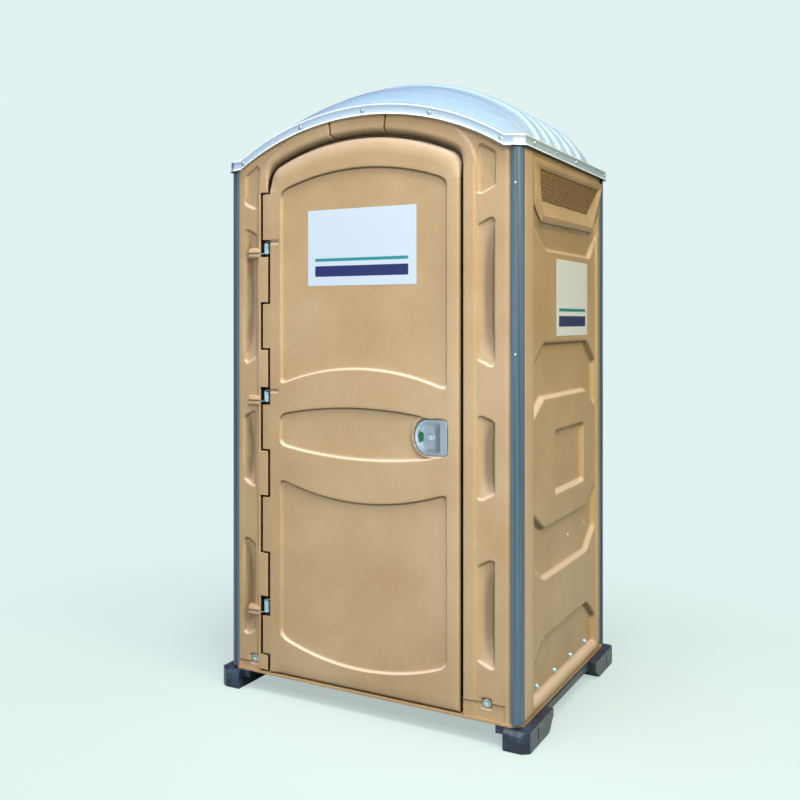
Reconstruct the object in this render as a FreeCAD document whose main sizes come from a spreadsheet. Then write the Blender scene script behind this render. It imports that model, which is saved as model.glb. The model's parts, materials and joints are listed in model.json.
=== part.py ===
import FreeCAD, Part
import math
import os
import re

import Sketcher

# Portable toilet cabin, millimetres. X to the right seen from the front, -Y is the front, +Z is up.
# The origin is on the floor, under the middle of the walls.

os.makedirs("parts", exist_ok=True)

# Driving sizes: name, value. Positions are measured from the middle of the cabin and from the floor.
SIZES = {
    # whole cabin
    "cabin_width": 1110.0,
    "cabin_depth": 1130.0,
    "skin": 4.0,
    "seat_gap": 0.3,
    "running_gap": 0.1,
    # skids
    "skid_height": 70.0,
    "skid_rail_low": 44.0,
    "skid_rail_width": 90.0,
    "foot_reach": 28.0,
    "foot_width": 82.0,
    "foot_length": 240.0,
    "foot_bevel": 14.0,
    # floor pan
    "pan_rim": 10.0,
    "pan_skin": 5.0,
    "deck_height": 130.0,
    "upstand_height": 165.0,
    "upstand_width": 38.0,
    "wall_foot": 80.3,
    # corner posts
    "post_width": 35.5,
    "post_depth": 35.5,
    "post_wall": 3.0,
    "post_lip": 11.0,
    "post_round": 42.0,
    # front frame
    "stile_step": 5.0,
    "frame_back": 60.0,
    "jamb_rebate": 40.0,
    "stop_width": 18.0,
    "arch_half": 500.0,
    "arch_low": 1976.0,
    "arch_crest": 2128.0,
    "flange_height": 38.0,
    "band_width": 37.0,
    "stile_recess": 20.0,
    # door
    "door_middle": -17.0,
    "door_right": 348.7,
    "door_gap": 11.7,
    "door_foot": 84.0,
    "door_crest": 2055.0,
    "door_shoulder": 1955.0,
    "door_depth": 30.0,
    "door_liner": 4.0,
    "door_recess": 9.0,
    "lens_foot": 938.0,
    "lens_head": 1054.0,
    "lens_bow": 35.0,
    # hinge
    "hinge_left": 398.0,
    "hinge_inset": 15.0,
    "knuckle_round": 15.0,
    "knuckle_gap": 2.0,
    "rod_diameter": 10.0,
    "spring_wire": 3.6,
    "spring_coil": 8.6,
    "spring_turns": 5.0,
    # latch
    "pivot_across": 248.0,
    "pivot_height": 1003.0,
    "latch_left": 186.0,
    "latch_right": 307.0,
    "latch_half": 63.0,
    "latch_round": 50.0,
    "latch_pocket": 14.0,
    "latch_plate": 3.0,
    "spindle_diameter": 12.0,
    "indicator_round": 52.0,
    "lever_reach": 155.0,
    "lever_half": 9.0,
    "lever_thick": 7.0,
    "strike_diameter": 7.0,
    "strike_low": 858.0,
    "strike_high": 962.0,
    # side and back walls
    "wall_depth": 35.0,
    "wall_field": 432.0,
    "field_top": 1957.0,
    "field_foot": 104.0,
    "field_step": 6.0,
    "field_recess": 18.0,
    "vent_foot": 1813.0,
    "vent_top": 1925.0,
    "vent_half_foot": 316.0,
    "vent_half_top": 400.0,
    "screen_thick": 2.0,
    "screen_slot": 18.0,
    # roof
    "roof_skin": 3.5,
    "roof_gap": 4.0,
    "dome_crest": 2301.0,
    "hoop_rise": 10.0,
    "dome_foot": 513.0,
    "dome_shoulder": 430.0,
    "dome_shoulder_height": 2152.0,
    # tank, seat and fittings
    "tank_side_gap": 11.7,
    "tank_front": 70.0,
    "tank_top": 560.0,
    "tank_wall": 5.0,
    "seat_opening": 120.0,
    "seat_middle": 265.0,
    "seat_thick": 20.0,
    "lid_thick": 14.0,
    "seat_pin": 8.0,
    "pipe_from_wall": 119.7,
    "pipe_back": 400.0,
    "pipe_diameter": 90.0,
    "pipe_wall": 3.0,
    "pipe_top": 2285.0,
    "drain_from_wall": 87.0,
    "urinal_along": 170.0,
    "urinal_half": 120.0,
    "urinal_reach": 190.0,
    "urinal_foot": 600.0,
    "urinal_top": 1060.0,
    "drain_diameter": 40.0,
    "paper_along": 120.0,
    "paper_half": 140.0,
    "paper_height": 820.0,
    "paper_rod": 14.0,
    "rivet_head": 12.0,
    "rivet_rise": 3.5,
    "bolt_head": 18.0,
    "bolt_rise": 7.0,
    "bolt_shank": 8.0,
}

doc = FreeCAD.newDocument("portable_toilet_cabin")
sheet = doc.addObject("Spreadsheet::Sheet", "Sizes")
for row, (alias, value) in enumerate(SIZES.items(), start=1):
    sheet.set(f"A{row}", alias)
    sheet.set(f"B{row}", str(value))
    sheet.setAlias(f"B{row}", alias)
doc.recompute()

FUNCTIONS = {"sqrt", "sin", "cos", "tan", "atan", "asin", "abs", "min", "max"}
WORD = re.compile(r"\b[a-z][a-z_]*[a-z]\b")


def bound(formula):
    """Give each size in a formula the name of its cell."""
    return WORD.sub(lambda m: m.group() if m.group() in FUNCTIONS else "Sizes." + m.group(), str(formula))


def size(formula):
    """Read a formula of sizes as a number."""
    return float(sheet.evalExpression(bound(formula)))


def minus(formula):
    return f"-({formula})"


def box_outline(left, right, low, high):
    return [(left, low), (right, low), (right, high), (left, high)]


ROUND_SIDES = 20


def round_outline(across, up, diameter):
    """Even many-sided outline of a small tube."""
    turns = [2 * math.pi * corner / ROUND_SIDES for corner in range(ROUND_SIDES)]
    return [
        (f"{across} + ({diameter}) / 2 * {math.cos(turn):.6f}", f"{up} + ({diameter}) / 2 * {math.sin(turn):.6f}")
        for turn in turns
    ]


def arch_radius(half, rise):
    """Radius of an arch from its half span and its rise."""
    return f"((({half}) * ({half}) + ({rise}) * ({rise})) / (2 * ({rise})))"


def draw_loop(sketch, loop):
    """Draw one closed outline. A corner is (across, up) and (across, up, radius) starts an arc there.

    A positive radius bulges to the right of the way from its corner to the next.
    """
    count = len(loop)
    places = [FreeCAD.Vector(size(corner[0]), size(corner[1]), 0) for corner in loop]
    first = sketch.GeometryCount
    edges = []
    ends = []
    for index, corner in enumerate(loop):
        start = places[index]
        end = places[(index + 1) % count]
        if len(corner) == 2:
            edges.append(Part.LineSegment(start, end))
            ends.append((1, 2))
            continue
        radius = size(corner[2])
        chord = end - start
        side = FreeCAD.Vector(chord.y, -chord.x, 0).normalize()
        rise = abs(radius) - math.sqrt(max(radius ** 2 - (chord.Length / 2) ** 2, 0))
        middle = (start + end) * 0.5 + side * math.copysign(rise, radius)
        if radius > 0:
            edges.append(Part.Arc(start, middle, end))
            ends.append((1, 2))
        else:
            edges.append(Part.Arc(end, middle, start))
            ends.append((2, 1))
    sketch.addGeometry(edges, False)
    constraints = []
    formulas = []
    for index, corner in enumerate(loop):
        edge = first + index
        before = (index - 1) % count
        own = ends[index][0]
        constraints.append(Sketcher.Constraint("Coincident", first + before, ends[before][1], edge, own))
        formulas.append(None)
        constraints.append(Sketcher.Constraint("DistanceX", -1, 1, edge, own, places[index].x))
        formulas.append(corner[0])
        constraints.append(Sketcher.Constraint("DistanceY", -1, 1, edge, own, places[index].y))
        formulas.append(corner[1])
        if len(corner) == 3:
            constraints.append(Sketcher.Constraint("Radius", edge, abs(size(corner[2]))))
            formulas.append(f"abs({corner[2]})")
    bind(sketch, constraints, formulas)


def draw_circle(sketch, across, up, diameter):
    middle = FreeCAD.Vector(size(across), size(up), 0)
    edge = sketch.addGeometry(Part.Circle(middle, FreeCAD.Vector(0, 0, 1), size(diameter) / 2), False)
    constraints = [
        Sketcher.Constraint("DistanceX", -1, 1, edge, 3, middle.x),
        Sketcher.Constraint("DistanceY", -1, 1, edge, 3, middle.y),
        Sketcher.Constraint("Diameter", edge, size(diameter)),
    ]
    bind(sketch, constraints, [across, up, diameter])


def bind(sketch, constraints, formulas):
    """Add constraints to a sketch and give each its formula."""
    first = sketch.ConstraintCount
    sketch.addConstraint(constraints)
    for index, formula in enumerate(formulas):
        if formula is not None:
            sketch.setExpression(f"Constraints[{first + index}]", bound(formula))


class Piece:
    """One sub-part: a body whose sketches and features take their sizes from the sheet."""

    def __init__(self, node):
        self.body = doc.addObject("PartDesign::Body", node)
        self.body.Label = node
        self.body.AllowCompound = True
        self.count = 0

    def sketch(self, plane, at, loops=(), circle=None):
        """Outlines or a circle on the XY, XZ or YZ plane, moved up, to the front or to the right."""
        self.count += 1
        sketch = self.body.newObject("Sketcher::SketchObject", f"{self.body.Name}_outline_{self.count}")
        role = f"{plane}_Plane"
        origin_plane = next(item for item in self.body.Origin.OriginFeatures if item.Role == role)
        sketch.AttachmentSupport = [(origin_plane, "")]
        sketch.MapMode = "FlatFace"
        sketch.setExpression(".AttachmentOffset.Base.z", bound(at))
        for loop in loops:
            draw_loop(sketch, loop)
        if circle:
            draw_circle(sketch, *circle)
        sketch.Visibility = False
        return sketch

    def feature(self, kind, sketch, depth, back, draft=None):
        feature = self.body.newObject(f"PartDesign::{kind}", f"{sketch.Name}_{kind.lower()}")
        feature.Profile = sketch
        feature.Reversed = back
        feature.setExpression("Length", bound(depth))
        if draft:
            feature.setExpression("TaperAngle", bound(draft))
        return feature

    def pad(self, plane, at, loops, depth, back=False, draft=None):
        """Add material along the plane's normal, or against it when back is set."""
        return self.feature("Pad", self.sketch(plane, at, loops), depth, back, draft)

    def cut(self, plane, at, loops, depth, back=True, draft=None):
        """Take material away against the plane's normal, or along it when back is not set."""
        return self.feature("Pocket", self.sketch(plane, at, loops), depth, not back, draft)

    def repeat(self, feature, plane, count, length):
        """Repeat a feature in a row along its plane's first axis, over a length."""
        doc.recompute()
        sketch = feature.Profile[0]
        row = self.body.newObject("PartDesign::LinearPattern", f"{feature.Name}_row")
        row.Originals = [feature]
        row.Direction = (sketch, ["H_Axis"])
        row.setExpression("Length", bound(length))
        row.Occurrences = count
        self.body.Tip = row
        return row

    def bore(self, plane, at, across, up, diameter, depth, back=True):
        """Cut a round hole with its middle at (across, up)."""
        return self.feature("Pocket", self.sketch(plane, at, circle=(across, up, diameter)), depth, not back)

    def disc(self, plane, at, across, up, diameter, depth, back=False):
        """Add a round boss with its middle at (across, up)."""
        return self.feature("Pad", self.sketch(plane, at, circle=(across, up, diameter)), depth, back)


def made_shape(node, shape):
    """A sub-part whose shape is worked out from the sheet's sizes."""
    feature = doc.addObject("Part::Feature", node)
    feature.Label = node
    feature.Shape = shape
    return feature


HALF_WIDTH = "cabin_width / 2"
HALF_DEPTH = "cabin_depth / 2"
WALL_TOP = "(arch_low + flange_height - roof_skin - seat_gap)"
RIGHT = 1
LEFT = -1
DRAFT = "-45"
EASY_DRAFT = "-30"


# Skids: black runners with a foot at each end
def make_skid(side, node):
    skid = Piece(node)
    outer = f"({HALF_WIDTH} + foot_reach)"
    reach = f"({HALF_DEPTH} + foot_reach)"
    rail = box_outline(minus(HALF_DEPTH), HALF_DEPTH, "skid_rail_low", "skid_height")
    skid.pad("YZ", f"{side} * ({outer} - foot_reach - skid_rail_width + 4)", [rail], "skid_rail_width", back=side < 0)
    heel = f"({reach} - foot_length)"
    ramp = f"({heel} - foot_bevel - skid_rail_low)"
    foot = [
        (ramp, "skid_rail_low"),
        (f"({heel} - foot_bevel)", "foot_bevel / 2"),
        (heel, "0"),
        (f"({reach} - foot_bevel / 2)", "0"),
        (reach, "foot_bevel / 2"),
        (reach, "skid_height - foot_bevel"),
        (f"({reach} - foot_bevel)", "skid_height"),
        (ramp, "skid_height"),
    ]
    other_foot = [(minus(across), up) for across, up in foot]
    for outline in (foot, other_foot):
        skid.pad("YZ", f"{side} * ({outer} - foot_width)", [outline], "foot_width", back=side < 0)
    for end in (-1, 1):
        corner = [
            (f"{side} * ({outer} + 1)", f"{end} * ({reach} - 2 * foot_bevel)"),
            (f"{side} * ({outer} + 1)", f"{end} * ({reach} + 1)"),
            (f"{side} * ({outer} - 2 * foot_bevel)", f"{end} * ({reach} + 1)"),
        ]
        skid.cut("XY", "skid_height + 1", [corner], "skid_height + 2")
        groove_middle = f"({reach} - foot_length / 2)"
        groove = box_outline(f"{end} * {groove_middle} - 4", f"{end} * {groove_middle} + 4",
                             "foot_bevel", "skid_height - foot_bevel")
        skid.cut("YZ", f"{side} * {outer}", [groove], "foot_bevel / 2", back=side > 0)
    return skid


make_skid(RIGHT, "skid_right")
make_skid(LEFT, "skid_left")


# Floor pan: a formed tray with a rim under the walls, upstands inside three of them and a ribbed deck
INNER_X = f"({HALF_WIDTH} - wall_depth - seat_gap)"
INNER_Y = f"({HALF_DEPTH} - wall_depth - seat_gap)"
PIPE_ACROSS = f"({INNER_X} - pipe_from_wall)"
TANK_HALF = f"({INNER_X} - upstand_width - tank_side_gap)"
FRAME_BACK = f"({HALF_DEPTH} - frame_back)"
PAN_X = f"({HALF_WIDTH} - 2)"
PAN_Y = f"({HALF_DEPTH} - 2)"
pan = Piece("floor_pan")
pan_rim = [
    (PAN_X, f"-({PAN_Y} - post_depth)"),
    (PAN_X, f"{PAN_Y} - post_depth"),
    (f"{PAN_X} - post_width", PAN_Y),
    (f"-({PAN_X} - post_width)", PAN_Y),
    (minus(PAN_X), f"{PAN_Y} - post_depth"),
    (minus(PAN_X), f"-({PAN_Y} - post_depth)"),
    (f"-({PAN_X} - post_width)", minus(PAN_Y)),
    (f"{PAN_X} - post_width", minus(PAN_Y)),
]
pan.pad("XY", "skid_height", [pan_rim], "pan_rim")
pan_block = box_outline(f"-({INNER_X} - seat_gap)", f"{INNER_X} - seat_gap", f"-({FRAME_BACK} - seat_gap)",
                        f"{INNER_Y} - seat_gap")
pan.pad("XY", "skid_height + pan_rim", [pan_block], "upstand_height - skid_height - pan_rim")
deck = box_outline(f"-({INNER_X} - upstand_width)", f"{INNER_X} - upstand_width",
                   f"-({FRAME_BACK} + 1)", f"{INNER_Y} - upstand_width")
pan.cut("XY", "upstand_height", [deck], "upstand_height - deck_height")
pan_inside = box_outline(f"-({INNER_X} - pan_skin)", f"{INNER_X} - pan_skin", f"-({FRAME_BACK} - 10)",
                         f"{INNER_Y} - pan_skin")
pan.cut("XY", "skid_height", [pan_inside], "deck_height - pan_skin - skid_height", back=False)
RIB_COUNT = 6
for rib in range(RIB_COUNT):
    rib_middle = f"({rib - (RIB_COUNT - 1) / 2} * 150)"
    rib_outline = box_outline(f"{rib_middle} - 22", f"{rib_middle} + 22", f"-({FRAME_BACK} - 60)", "tank_front - 60")
    pan.pad("XY", "deck_height", [rib_outline], "3", draft=DRAFT)


# Corner posts: hollow extrusions with a lip beside the front and back walls and a rounded corner
def make_post(across, along, node):
    post = Piece(node)
    turn = across * along * -1

    def corner(places):
        return [(f"{across} * ({place[0]})", f"{along} * ({place[1]})") + tuple(place[2:]) for place in places]

    inner_x = f"({HALF_WIDTH} - post_width)"
    inner_y = f"({HALF_DEPTH} - post_depth)"
    outer = corner([
        (inner_x, inner_y),
        (inner_x, f"{HALF_DEPTH} - stile_step"),
        (f"{inner_x} + post_lip - 2", f"{HALF_DEPTH} - stile_step"),
        (f"{inner_x} + post_lip - 2", f"{HALF_DEPTH} - stile_step - 3"),
        (f"{inner_x} + post_lip", f"{HALF_DEPTH} - stile_step - 3"),
        (f"{inner_x} + post_lip", HALF_DEPTH, f"{turn} * post_round"),
        (HALF_WIDTH, f"{HALF_DEPTH} - post_depth + 4"),
        (HALF_WIDTH, inner_y),
    ])
    hollow = corner([
        (f"{inner_x} + post_wall", f"{inner_y} + post_wall"),
        (f"{inner_x} + post_wall", f"{HALF_DEPTH} - stile_step - 3 - post_wall"),
        (f"{inner_x} + post_lip + 2", f"{HALF_DEPTH} - stile_step - 3 - post_wall"),
        (f"{HALF_WIDTH} - post_wall", f"{inner_y} + post_wall + 2"),
        (f"{HALF_WIDTH} - post_wall", f"{inner_y} + post_wall"),
    ])
    post.pad("XY", "wall_foot", [outer, hollow], f"{WALL_TOP} - wall_foot")
    return post


POSTS = [
    (RIGHT, -1, "corner_post_front_right"),
    (LEFT, -1, "corner_post_front_left"),
    (RIGHT, 1, "corner_post_back_right"),
    (LEFT, 1, "corner_post_back_left"),
]
for across, along, node in POSTS:
    make_post(across, along, node)


# Door outline: straight sides, an arched top with cut corners
DOOR_LEFT = "(-hinge_left + knuckle_round + 3)"
STILE = f"({HALF_DEPTH} - stile_step)"
REBATE = f"({HALF_DEPTH} - jamb_rebate)"
DOOR_BACK = f"({HALF_DEPTH} - door_depth)"
HINGE_AT = f"({HALF_DEPTH} - hinge_inset)"


def door_outline(grow, foot):
    """The door's arched outline, larger all round by grow, down to a foot height."""
    left = f"({DOOR_LEFT} - ({grow}))"
    right = f"(door_right + ({grow}))"
    shoulder_span = f"((door_right - {DOOR_LEFT}) / 2 - 24)"
    crest = f"(door_crest + ({grow}))"
    shoulder = f"(door_shoulder + ({grow}) + 20)"
    radius = arch_radius(shoulder_span, f"(door_crest - door_shoulder - 20)")
    return [
        (left, foot),
        (right, foot),
        (right, "door_shoulder - 30"),
        (f"{right} - 24", shoulder, radius),
        (f"{left} + 24", shoulder),
        (left, "door_shoulder - 30"),
    ]


ARCH_RISE = "(arch_crest - arch_low)"
ARCH_LOW_RADIUS = arch_radius("arch_half", ARCH_RISE)
FRAME_EDGE = f"({HALF_WIDTH} - post_width)"
frame = Piece("front_frame")
frame_outer = [
    (minus(FRAME_EDGE), "wall_foot"),
    (FRAME_EDGE, "wall_foot"),
    (FRAME_EDGE, WALL_TOP),
    ("arch_half", WALL_TOP, ARCH_LOW_RADIUS),
    ("-arch_half", WALL_TOP),
    (minus(FRAME_EDGE), WALL_TOP),
]
hinge_side = "(-hinge_left - knuckle_round - 2)"
rebate = door_outline("door_gap", "wall_foot - 1")
rebate[0] = (hinge_side, "wall_foot - 1")
rebate[4] = (f"{hinge_side} + 40", rebate[4][1])
rebate[5] = (hinge_side, rebate[5][1])
stop = door_outline("door_gap - stop_width", "deck_height")
frame.pad("XZ", FRAME_BACK, [frame_outer], f"{STILE} - {FRAME_BACK}")
band = [
    (f"{hinge_side} - band_width / 2", "wall_foot"),
    ("door_right + door_gap + band_width", "wall_foot"),
    ("door_right + door_gap + band_width", "door_shoulder + 50"),
    ("door_right + door_gap - 10", "door_crest + 20", arch_radius("(door_right - door_middle)", "48")),
    (f"{hinge_side} + 40", "door_crest + 20"),
    (f"{hinge_side} - band_width / 2", "door_shoulder + 50"),
]
frame.cut("XZ", f"{HALF_DEPTH} + 1", [rebate], f"1 + jamb_rebate")
frame.cut("XZ", f"{HALF_DEPTH} + 1", [stop], f"1 + frame_back + 1")


def recess_outline(inner, outer, low, high, cut):
    """A tall stile recess with its corners cut."""
    return [
        (inner, f"{low} + {cut}"),
        (f"{inner} + ({outer} - ({inner})) * 0.22", low),
        (outer, f"{low} + {cut}"),
        (outer, f"{high} - {cut}"),
        (f"{inner} + ({outer} - ({inner})) * 0.22", high),
        (inner, f"{high} - {cut}"),
    ]


STILE_RECESSES = [(212, 612), (790, 1087), (1240, 1744), (1822, 1975)]
for low, high in STILE_RECESSES:
    right_recess = recess_outline("408", "471", low, high, 15)
    left_recess = recess_outline("-439", "-491", low, high, 15)
    for outline in (right_recess, left_recess):
        frame.cut("XZ", STILE, [outline], "stile_recess", draft=EASY_DRAFT)
STRIKE_ACROSS = "(door_right + door_gap + 4)"
STRIKE_POCKET = [
    ("door_right + door_gap - stop_width - 2", "strike_low"),
    (f"{STRIKE_ACROSS} - strike_diameter", "strike_low + 8"),
    (f"{STRIKE_ACROSS} + 12", "strike_low + 8"),
    (f"{STRIKE_ACROSS} + 12", "strike_high - 8"),
    (f"{STRIKE_ACROSS} - strike_diameter", "strike_high - 8"),
    ("door_right + door_gap - stop_width - 2", "strike_high"),
]
frame.cut("XZ", HINGE_AT, [STRIKE_POCKET], "frame_back - hinge_inset + 1")
BOLT_POCKETS = [("-452", "118"), ("436", "130")]
for across, up in BOLT_POCKETS:
    ledge = box_outline(f"{across} - 15", f"{across} + 15", f"{up} - 20", f"{up} + 18")
    frame.cut("XZ", STILE, [ledge], "stile_recess", draft="-15")
# One hollow runs up one stile, over the door and down the other
grown = door_outline("door_gap + skin", "wall_foot + skin")
top = f"({WALL_TOP} - skin)"
hollow = [
    (f"-({FRAME_EDGE} - skin)", "wall_foot + skin"),
    (f"{hinge_side} - skin", "wall_foot + skin"),
    (f"{hinge_side} - skin", grown[5][1]),
    (f"{hinge_side} + 40", grown[4][1], minus(grown[3][2])),
    grown[3][:2],
    grown[2],
    grown[1],
    (f"{FRAME_EDGE} - skin", "wall_foot + skin"),
    (f"{FRAME_EDGE} - skin", top),
    ("arch_half", top, ARCH_LOW_RADIUS),
    ("-arch_half", top),
    (f"-({FRAME_EDGE} - skin)", top),
]
frame.cut("XZ", FRAME_BACK, [hollow], "frame_back - stile_step - stile_recess - skin", back=False)
frame.pad("XZ", STILE, [band], "stile_step")
frame.cut("XZ", f"{HALF_DEPTH} + 1", [rebate], "1 + stile_step")

# Knuckles: the door and the frame hold the hinge rod in turn, with three windows for the springs
DOOR_KNUCKLES = [(1702, 1880), (1295, 1468), (915, 1088), (530, 741), (146, 293)]
FRAME_KNUCKLES = [(1468, 1645), (1148, 1295), (741, 915), (361, 530), (84, 146)]
SPRING_WINDOWS = [(1645, 1702), (1088, 1148), (293, 361)]


def knuckle(side):
    """Plan of a knuckle: a round nose about the hinge axis, square to the door or the stile."""
    root = f"(-hinge_left - {side} * (knuckle_round + 3))"
    front = minus(HALF_DEPTH)
    rear = f"-({HALF_DEPTH} - 2 * knuckle_round)"
    return [
        (root, front),
        ("-hinge_left", front, f"{side} * knuckle_round"),
        (f"-hinge_left + {side} * knuckle_round", minus(HINGE_AT), f"{side} * knuckle_round"),
        ("-hinge_left", rear),
        (root, rear),
    ]


ROD_HOLE = "rod_diameter + 2 * running_gap"


def add_knuckles(piece, side, spans, top):
    """Add each knuckle of one leaf, then bore them all for the rod."""
    for low, high in spans:
        piece.pad("XY", f"{low} + knuckle_gap / 2", [knuckle(side)], f"{high} - {low} - knuckle_gap")
    piece.bore("XY", top, "-hinge_left", minus(HINGE_AT), ROD_HOLE, top)


add_knuckles(frame, 1, FRAME_KNUCKLES, "1700")

# A boss on the stile beside each spring holds its lower leg in a slot
LEG_SLOT = "(spring_wire + 0.8)"
LEG_BEHIND = f"({HINGE_AT} + spring_coil - spring_wire / 2 - 0.4)"
for low, high in SPRING_WINDOWS:
    boss = box_outline("-469", "-422", f"{low} - 2", f"{low} + 32")
    frame.pad("XZ", STILE, [boss], "stile_step + 6", draft="-20")
    slot = box_outline("-470", "-414", f"{low} + 8", f"{low} + 8 + {LEG_SLOT}")
    frame.cut("XZ", f"{HALF_DEPTH} + 7", [slot], f"{HALF_DEPTH} + 7 - {LEG_BEHIND}")


# Door: a formed outer skin with three recesses, closed behind by a flat liner
door = Piece("door_outer_skin")
door_edge = door_outline("0", "door_foot")
door.pad("XZ", DOOR_BACK, [door_edge], f"{HALF_DEPTH} - {DOOR_BACK}")
MIDDLE = "(-16)"
PANEL = "318"


def panel_field(low_side, low_rise, high_side, high_rise):
    """A recessed field with upright sides and an arched foot and head."""
    low_radius = arch_radius(PANEL, f"abs({low_rise})")
    high_radius = arch_radius(PANEL, f"abs({high_rise})")
    low_sign = "" if low_rise < 0 else "-"
    high_sign = "" if high_rise > 0 else "-"
    return [
        (f"{MIDDLE} - {PANEL}", low_side, f"{low_sign}1 * {low_radius}" if low_sign else low_radius),
        (f"{MIDDLE} + {PANEL}", low_side),
        (f"{MIDDLE} + {PANEL}", high_side, f"{high_sign}1 * {high_radius}" if high_sign else high_radius),
        (f"{MIDDLE} - {PANEL}", high_side),
    ]


UPPER_FIELD = panel_field(1170, 60, 1885, 64)
LOWER_FIELD = panel_field(224, -70, 815, -66)
LENS_HALF = f"((latch_right + 5 - ({MIDDLE} - {PANEL})) / 2)"
LENS_FIELD = [
    (f"{MIDDLE} - {PANEL}", "lens_foot", arch_radius(LENS_HALF, "lens_bow")),
    ("latch_right + 5", "lens_foot"),
    ("latch_right + 5", "lens_head", arch_radius(LENS_HALF, "lens_bow")),
    (f"{MIDDLE} - {PANEL}", "lens_head"),
]
for field in (UPPER_FIELD, LOWER_FIELD, LENS_FIELD):
    door.cut("XZ", HALF_DEPTH, [field], "door_recess", draft=DRAFT)


def latch_outline(grow):
    """The latch plate's outline: straight on the right, round on the left."""
    round_radius = arch_radius(f"(latch_half + {grow})", f"(latch_round + {grow})")
    return [
        (f"latch_right + {grow}", f"pivot_height - latch_half + 16 - {grow}"),
        (f"latch_right + {grow}", f"pivot_height + latch_half - 16 + {grow}"),
        (f"latch_right - 16", f"pivot_height + latch_half + {grow}"),
        ("latch_left + latch_round", f"pivot_height + latch_half + {grow}", round_radius),
        ("latch_left + latch_round", f"pivot_height - latch_half - {grow}"),
        (f"latch_right - 16", f"pivot_height - latch_half - {grow}"),
    ]


door.cut("XZ", HALF_DEPTH, [latch_outline("0.5")], "latch_pocket")
wedge = [("108", "104"), ("248", "142"), ("270", "94"), ("262", "84.5"), ("108", "84.5")]
door_inside = [
    (f"{DOOR_LEFT} + skin", "door_foot + skin"),
    ("door_right - skin", "door_foot + skin"),
    ("door_right - skin", "door_shoulder - 34"),
    ("door_right - 26", "door_shoulder + 14", door_edge[3][2]),
    (f"{DOOR_LEFT} + 26", "door_shoulder + 14"),
    (f"{DOOR_LEFT} + skin", "door_shoulder - 34"),
]
door.cut("XZ", DOOR_BACK, [door_inside], "door_depth - latch_pocket - skin", back=False)
door.pad("XZ", HALF_DEPTH, [wedge], "5", draft=DRAFT)
add_knuckles(door, -1, DOOR_KNUCKLES, "1890")
for low, high in SPRING_WINDOWS:
    groove = box_outline(f"{DOOR_LEFT} - 1", "-341", f"{high} - 11", f"{high} - 11 + {LEG_SLOT}")
    door.cut("XZ", HALF_DEPTH, [groove], f"{HALF_DEPTH} - {LEG_BEHIND}")
door.bore("XZ", f"{HALF_DEPTH}", "pivot_across", "pivot_height", "spindle_diameter + 2 * running_gap", "door_depth")

liner = Piece("door_inner_skin")
liner_edge = door_outline("-2", "door_foot + 2")
liner.pad("XZ", f"{DOOR_BACK} - door_liner", [liner_edge], "door_liner")
LINER_FIELDS = (("door_foot + 96", "pivot_height - 203"), ("pivot_height + 187", "door_shoulder - 75"))
for low, high in LINER_FIELDS:
    rib_field = box_outline(f"{MIDDLE} - 250", f"{MIDDLE} + 250", low, high)
    liner.cut("XZ", f"{DOOR_BACK} - door_liner", [rib_field], "1.5", back=False)
liner.bore("XZ", DOOR_BACK, "pivot_across", "pivot_height", "spindle_diameter + 2 * running_gap", "door_liner")

# Latch: a dished plate outside, an indicator disc behind its window, a spindle and a lever inside
plate = Piece("latch_plate")
PLATE_AT = f"({HALF_DEPTH} - 2 - latch_plate)"
plate.pad("XZ", PLATE_AT, [latch_outline("0")], "latch_plate")
rim_in = latch_outline("(-3)")
foot_ring = [latch_outline("0"), rim_in]
plate.pad("XZ", f"{HALF_DEPTH} - latch_pocket", foot_ring, f"latch_pocket - 2")
cup = box_outline("latch_right - 44", "latch_right - 22", "pivot_height - 40", "pivot_height + 40")
cup_in = box_outline("latch_right - 42", "latch_right - 24", "pivot_height - 38", "pivot_height + 38")
plate.pad("XZ", f"{PLATE_AT} - 6", [cup], "6")
plate.cut("XZ", f"{HALF_DEPTH}", [cup_in], "latch_plate + 2 + 4.4")
window = [
    ("pivot_across - 26", "pivot_height - 13"),
    ("pivot_across - 26", "pivot_height + 13"),
    ("pivot_across - 42", "pivot_height + 21"),
    ("pivot_across - 47", "pivot_height"),
    ("pivot_across - 42", "pivot_height - 21"),
]
plate.cut("XZ", HALF_DEPTH, [window], "2 + latch_plate")
plate.bore("XZ", HALF_DEPTH, "pivot_across", "pivot_height", "spindle_diameter + 2 * running_gap", "2 + latch_plate + 7")

# The indicator is a hub with a sector: green shows at rest, red when the lever has turned
indicator = Piece("indicator_disc")
INDICATOR_AT = f"({PLATE_AT} - 2.5)"
INDICATOR_FROM = 97
INDICATOR_TO = 213


def on_indicator(angle):
    return (f"pivot_across + indicator_round * cos({angle})", f"pivot_height + indicator_round * sin({angle})")


sector = [on_indicator(INDICATOR_FROM) + ("indicator_round",), on_indicator(INDICATOR_TO), ("pivot_across", "pivot_height")]
indicator.disc("XZ", INDICATOR_AT, "pivot_across", "pivot_height", "2 * spindle_diameter", "2")
indicator.pad("XZ", INDICATOR_AT, [sector], "2")
indicator.bore("XZ", PLATE_AT, "pivot_across", "pivot_height", "spindle_diameter", "4")

spindle = Piece("latch_spindle")
LEVER_FRONT = f"({DOOR_BACK} - door_liner - seat_gap)"
spindle.disc("XZ", f"{LEVER_FRONT} - lever_thick", "pivot_across", "pivot_height", "spindle_diameter",
             f"{HALF_DEPTH} - {LEVER_FRONT} + lever_thick - 1.7")
spindle.disc("XZ", f"{HALF_DEPTH} - 1.7", "pivot_across", "pivot_height", "spindle_diameter + 6", "4")

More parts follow.
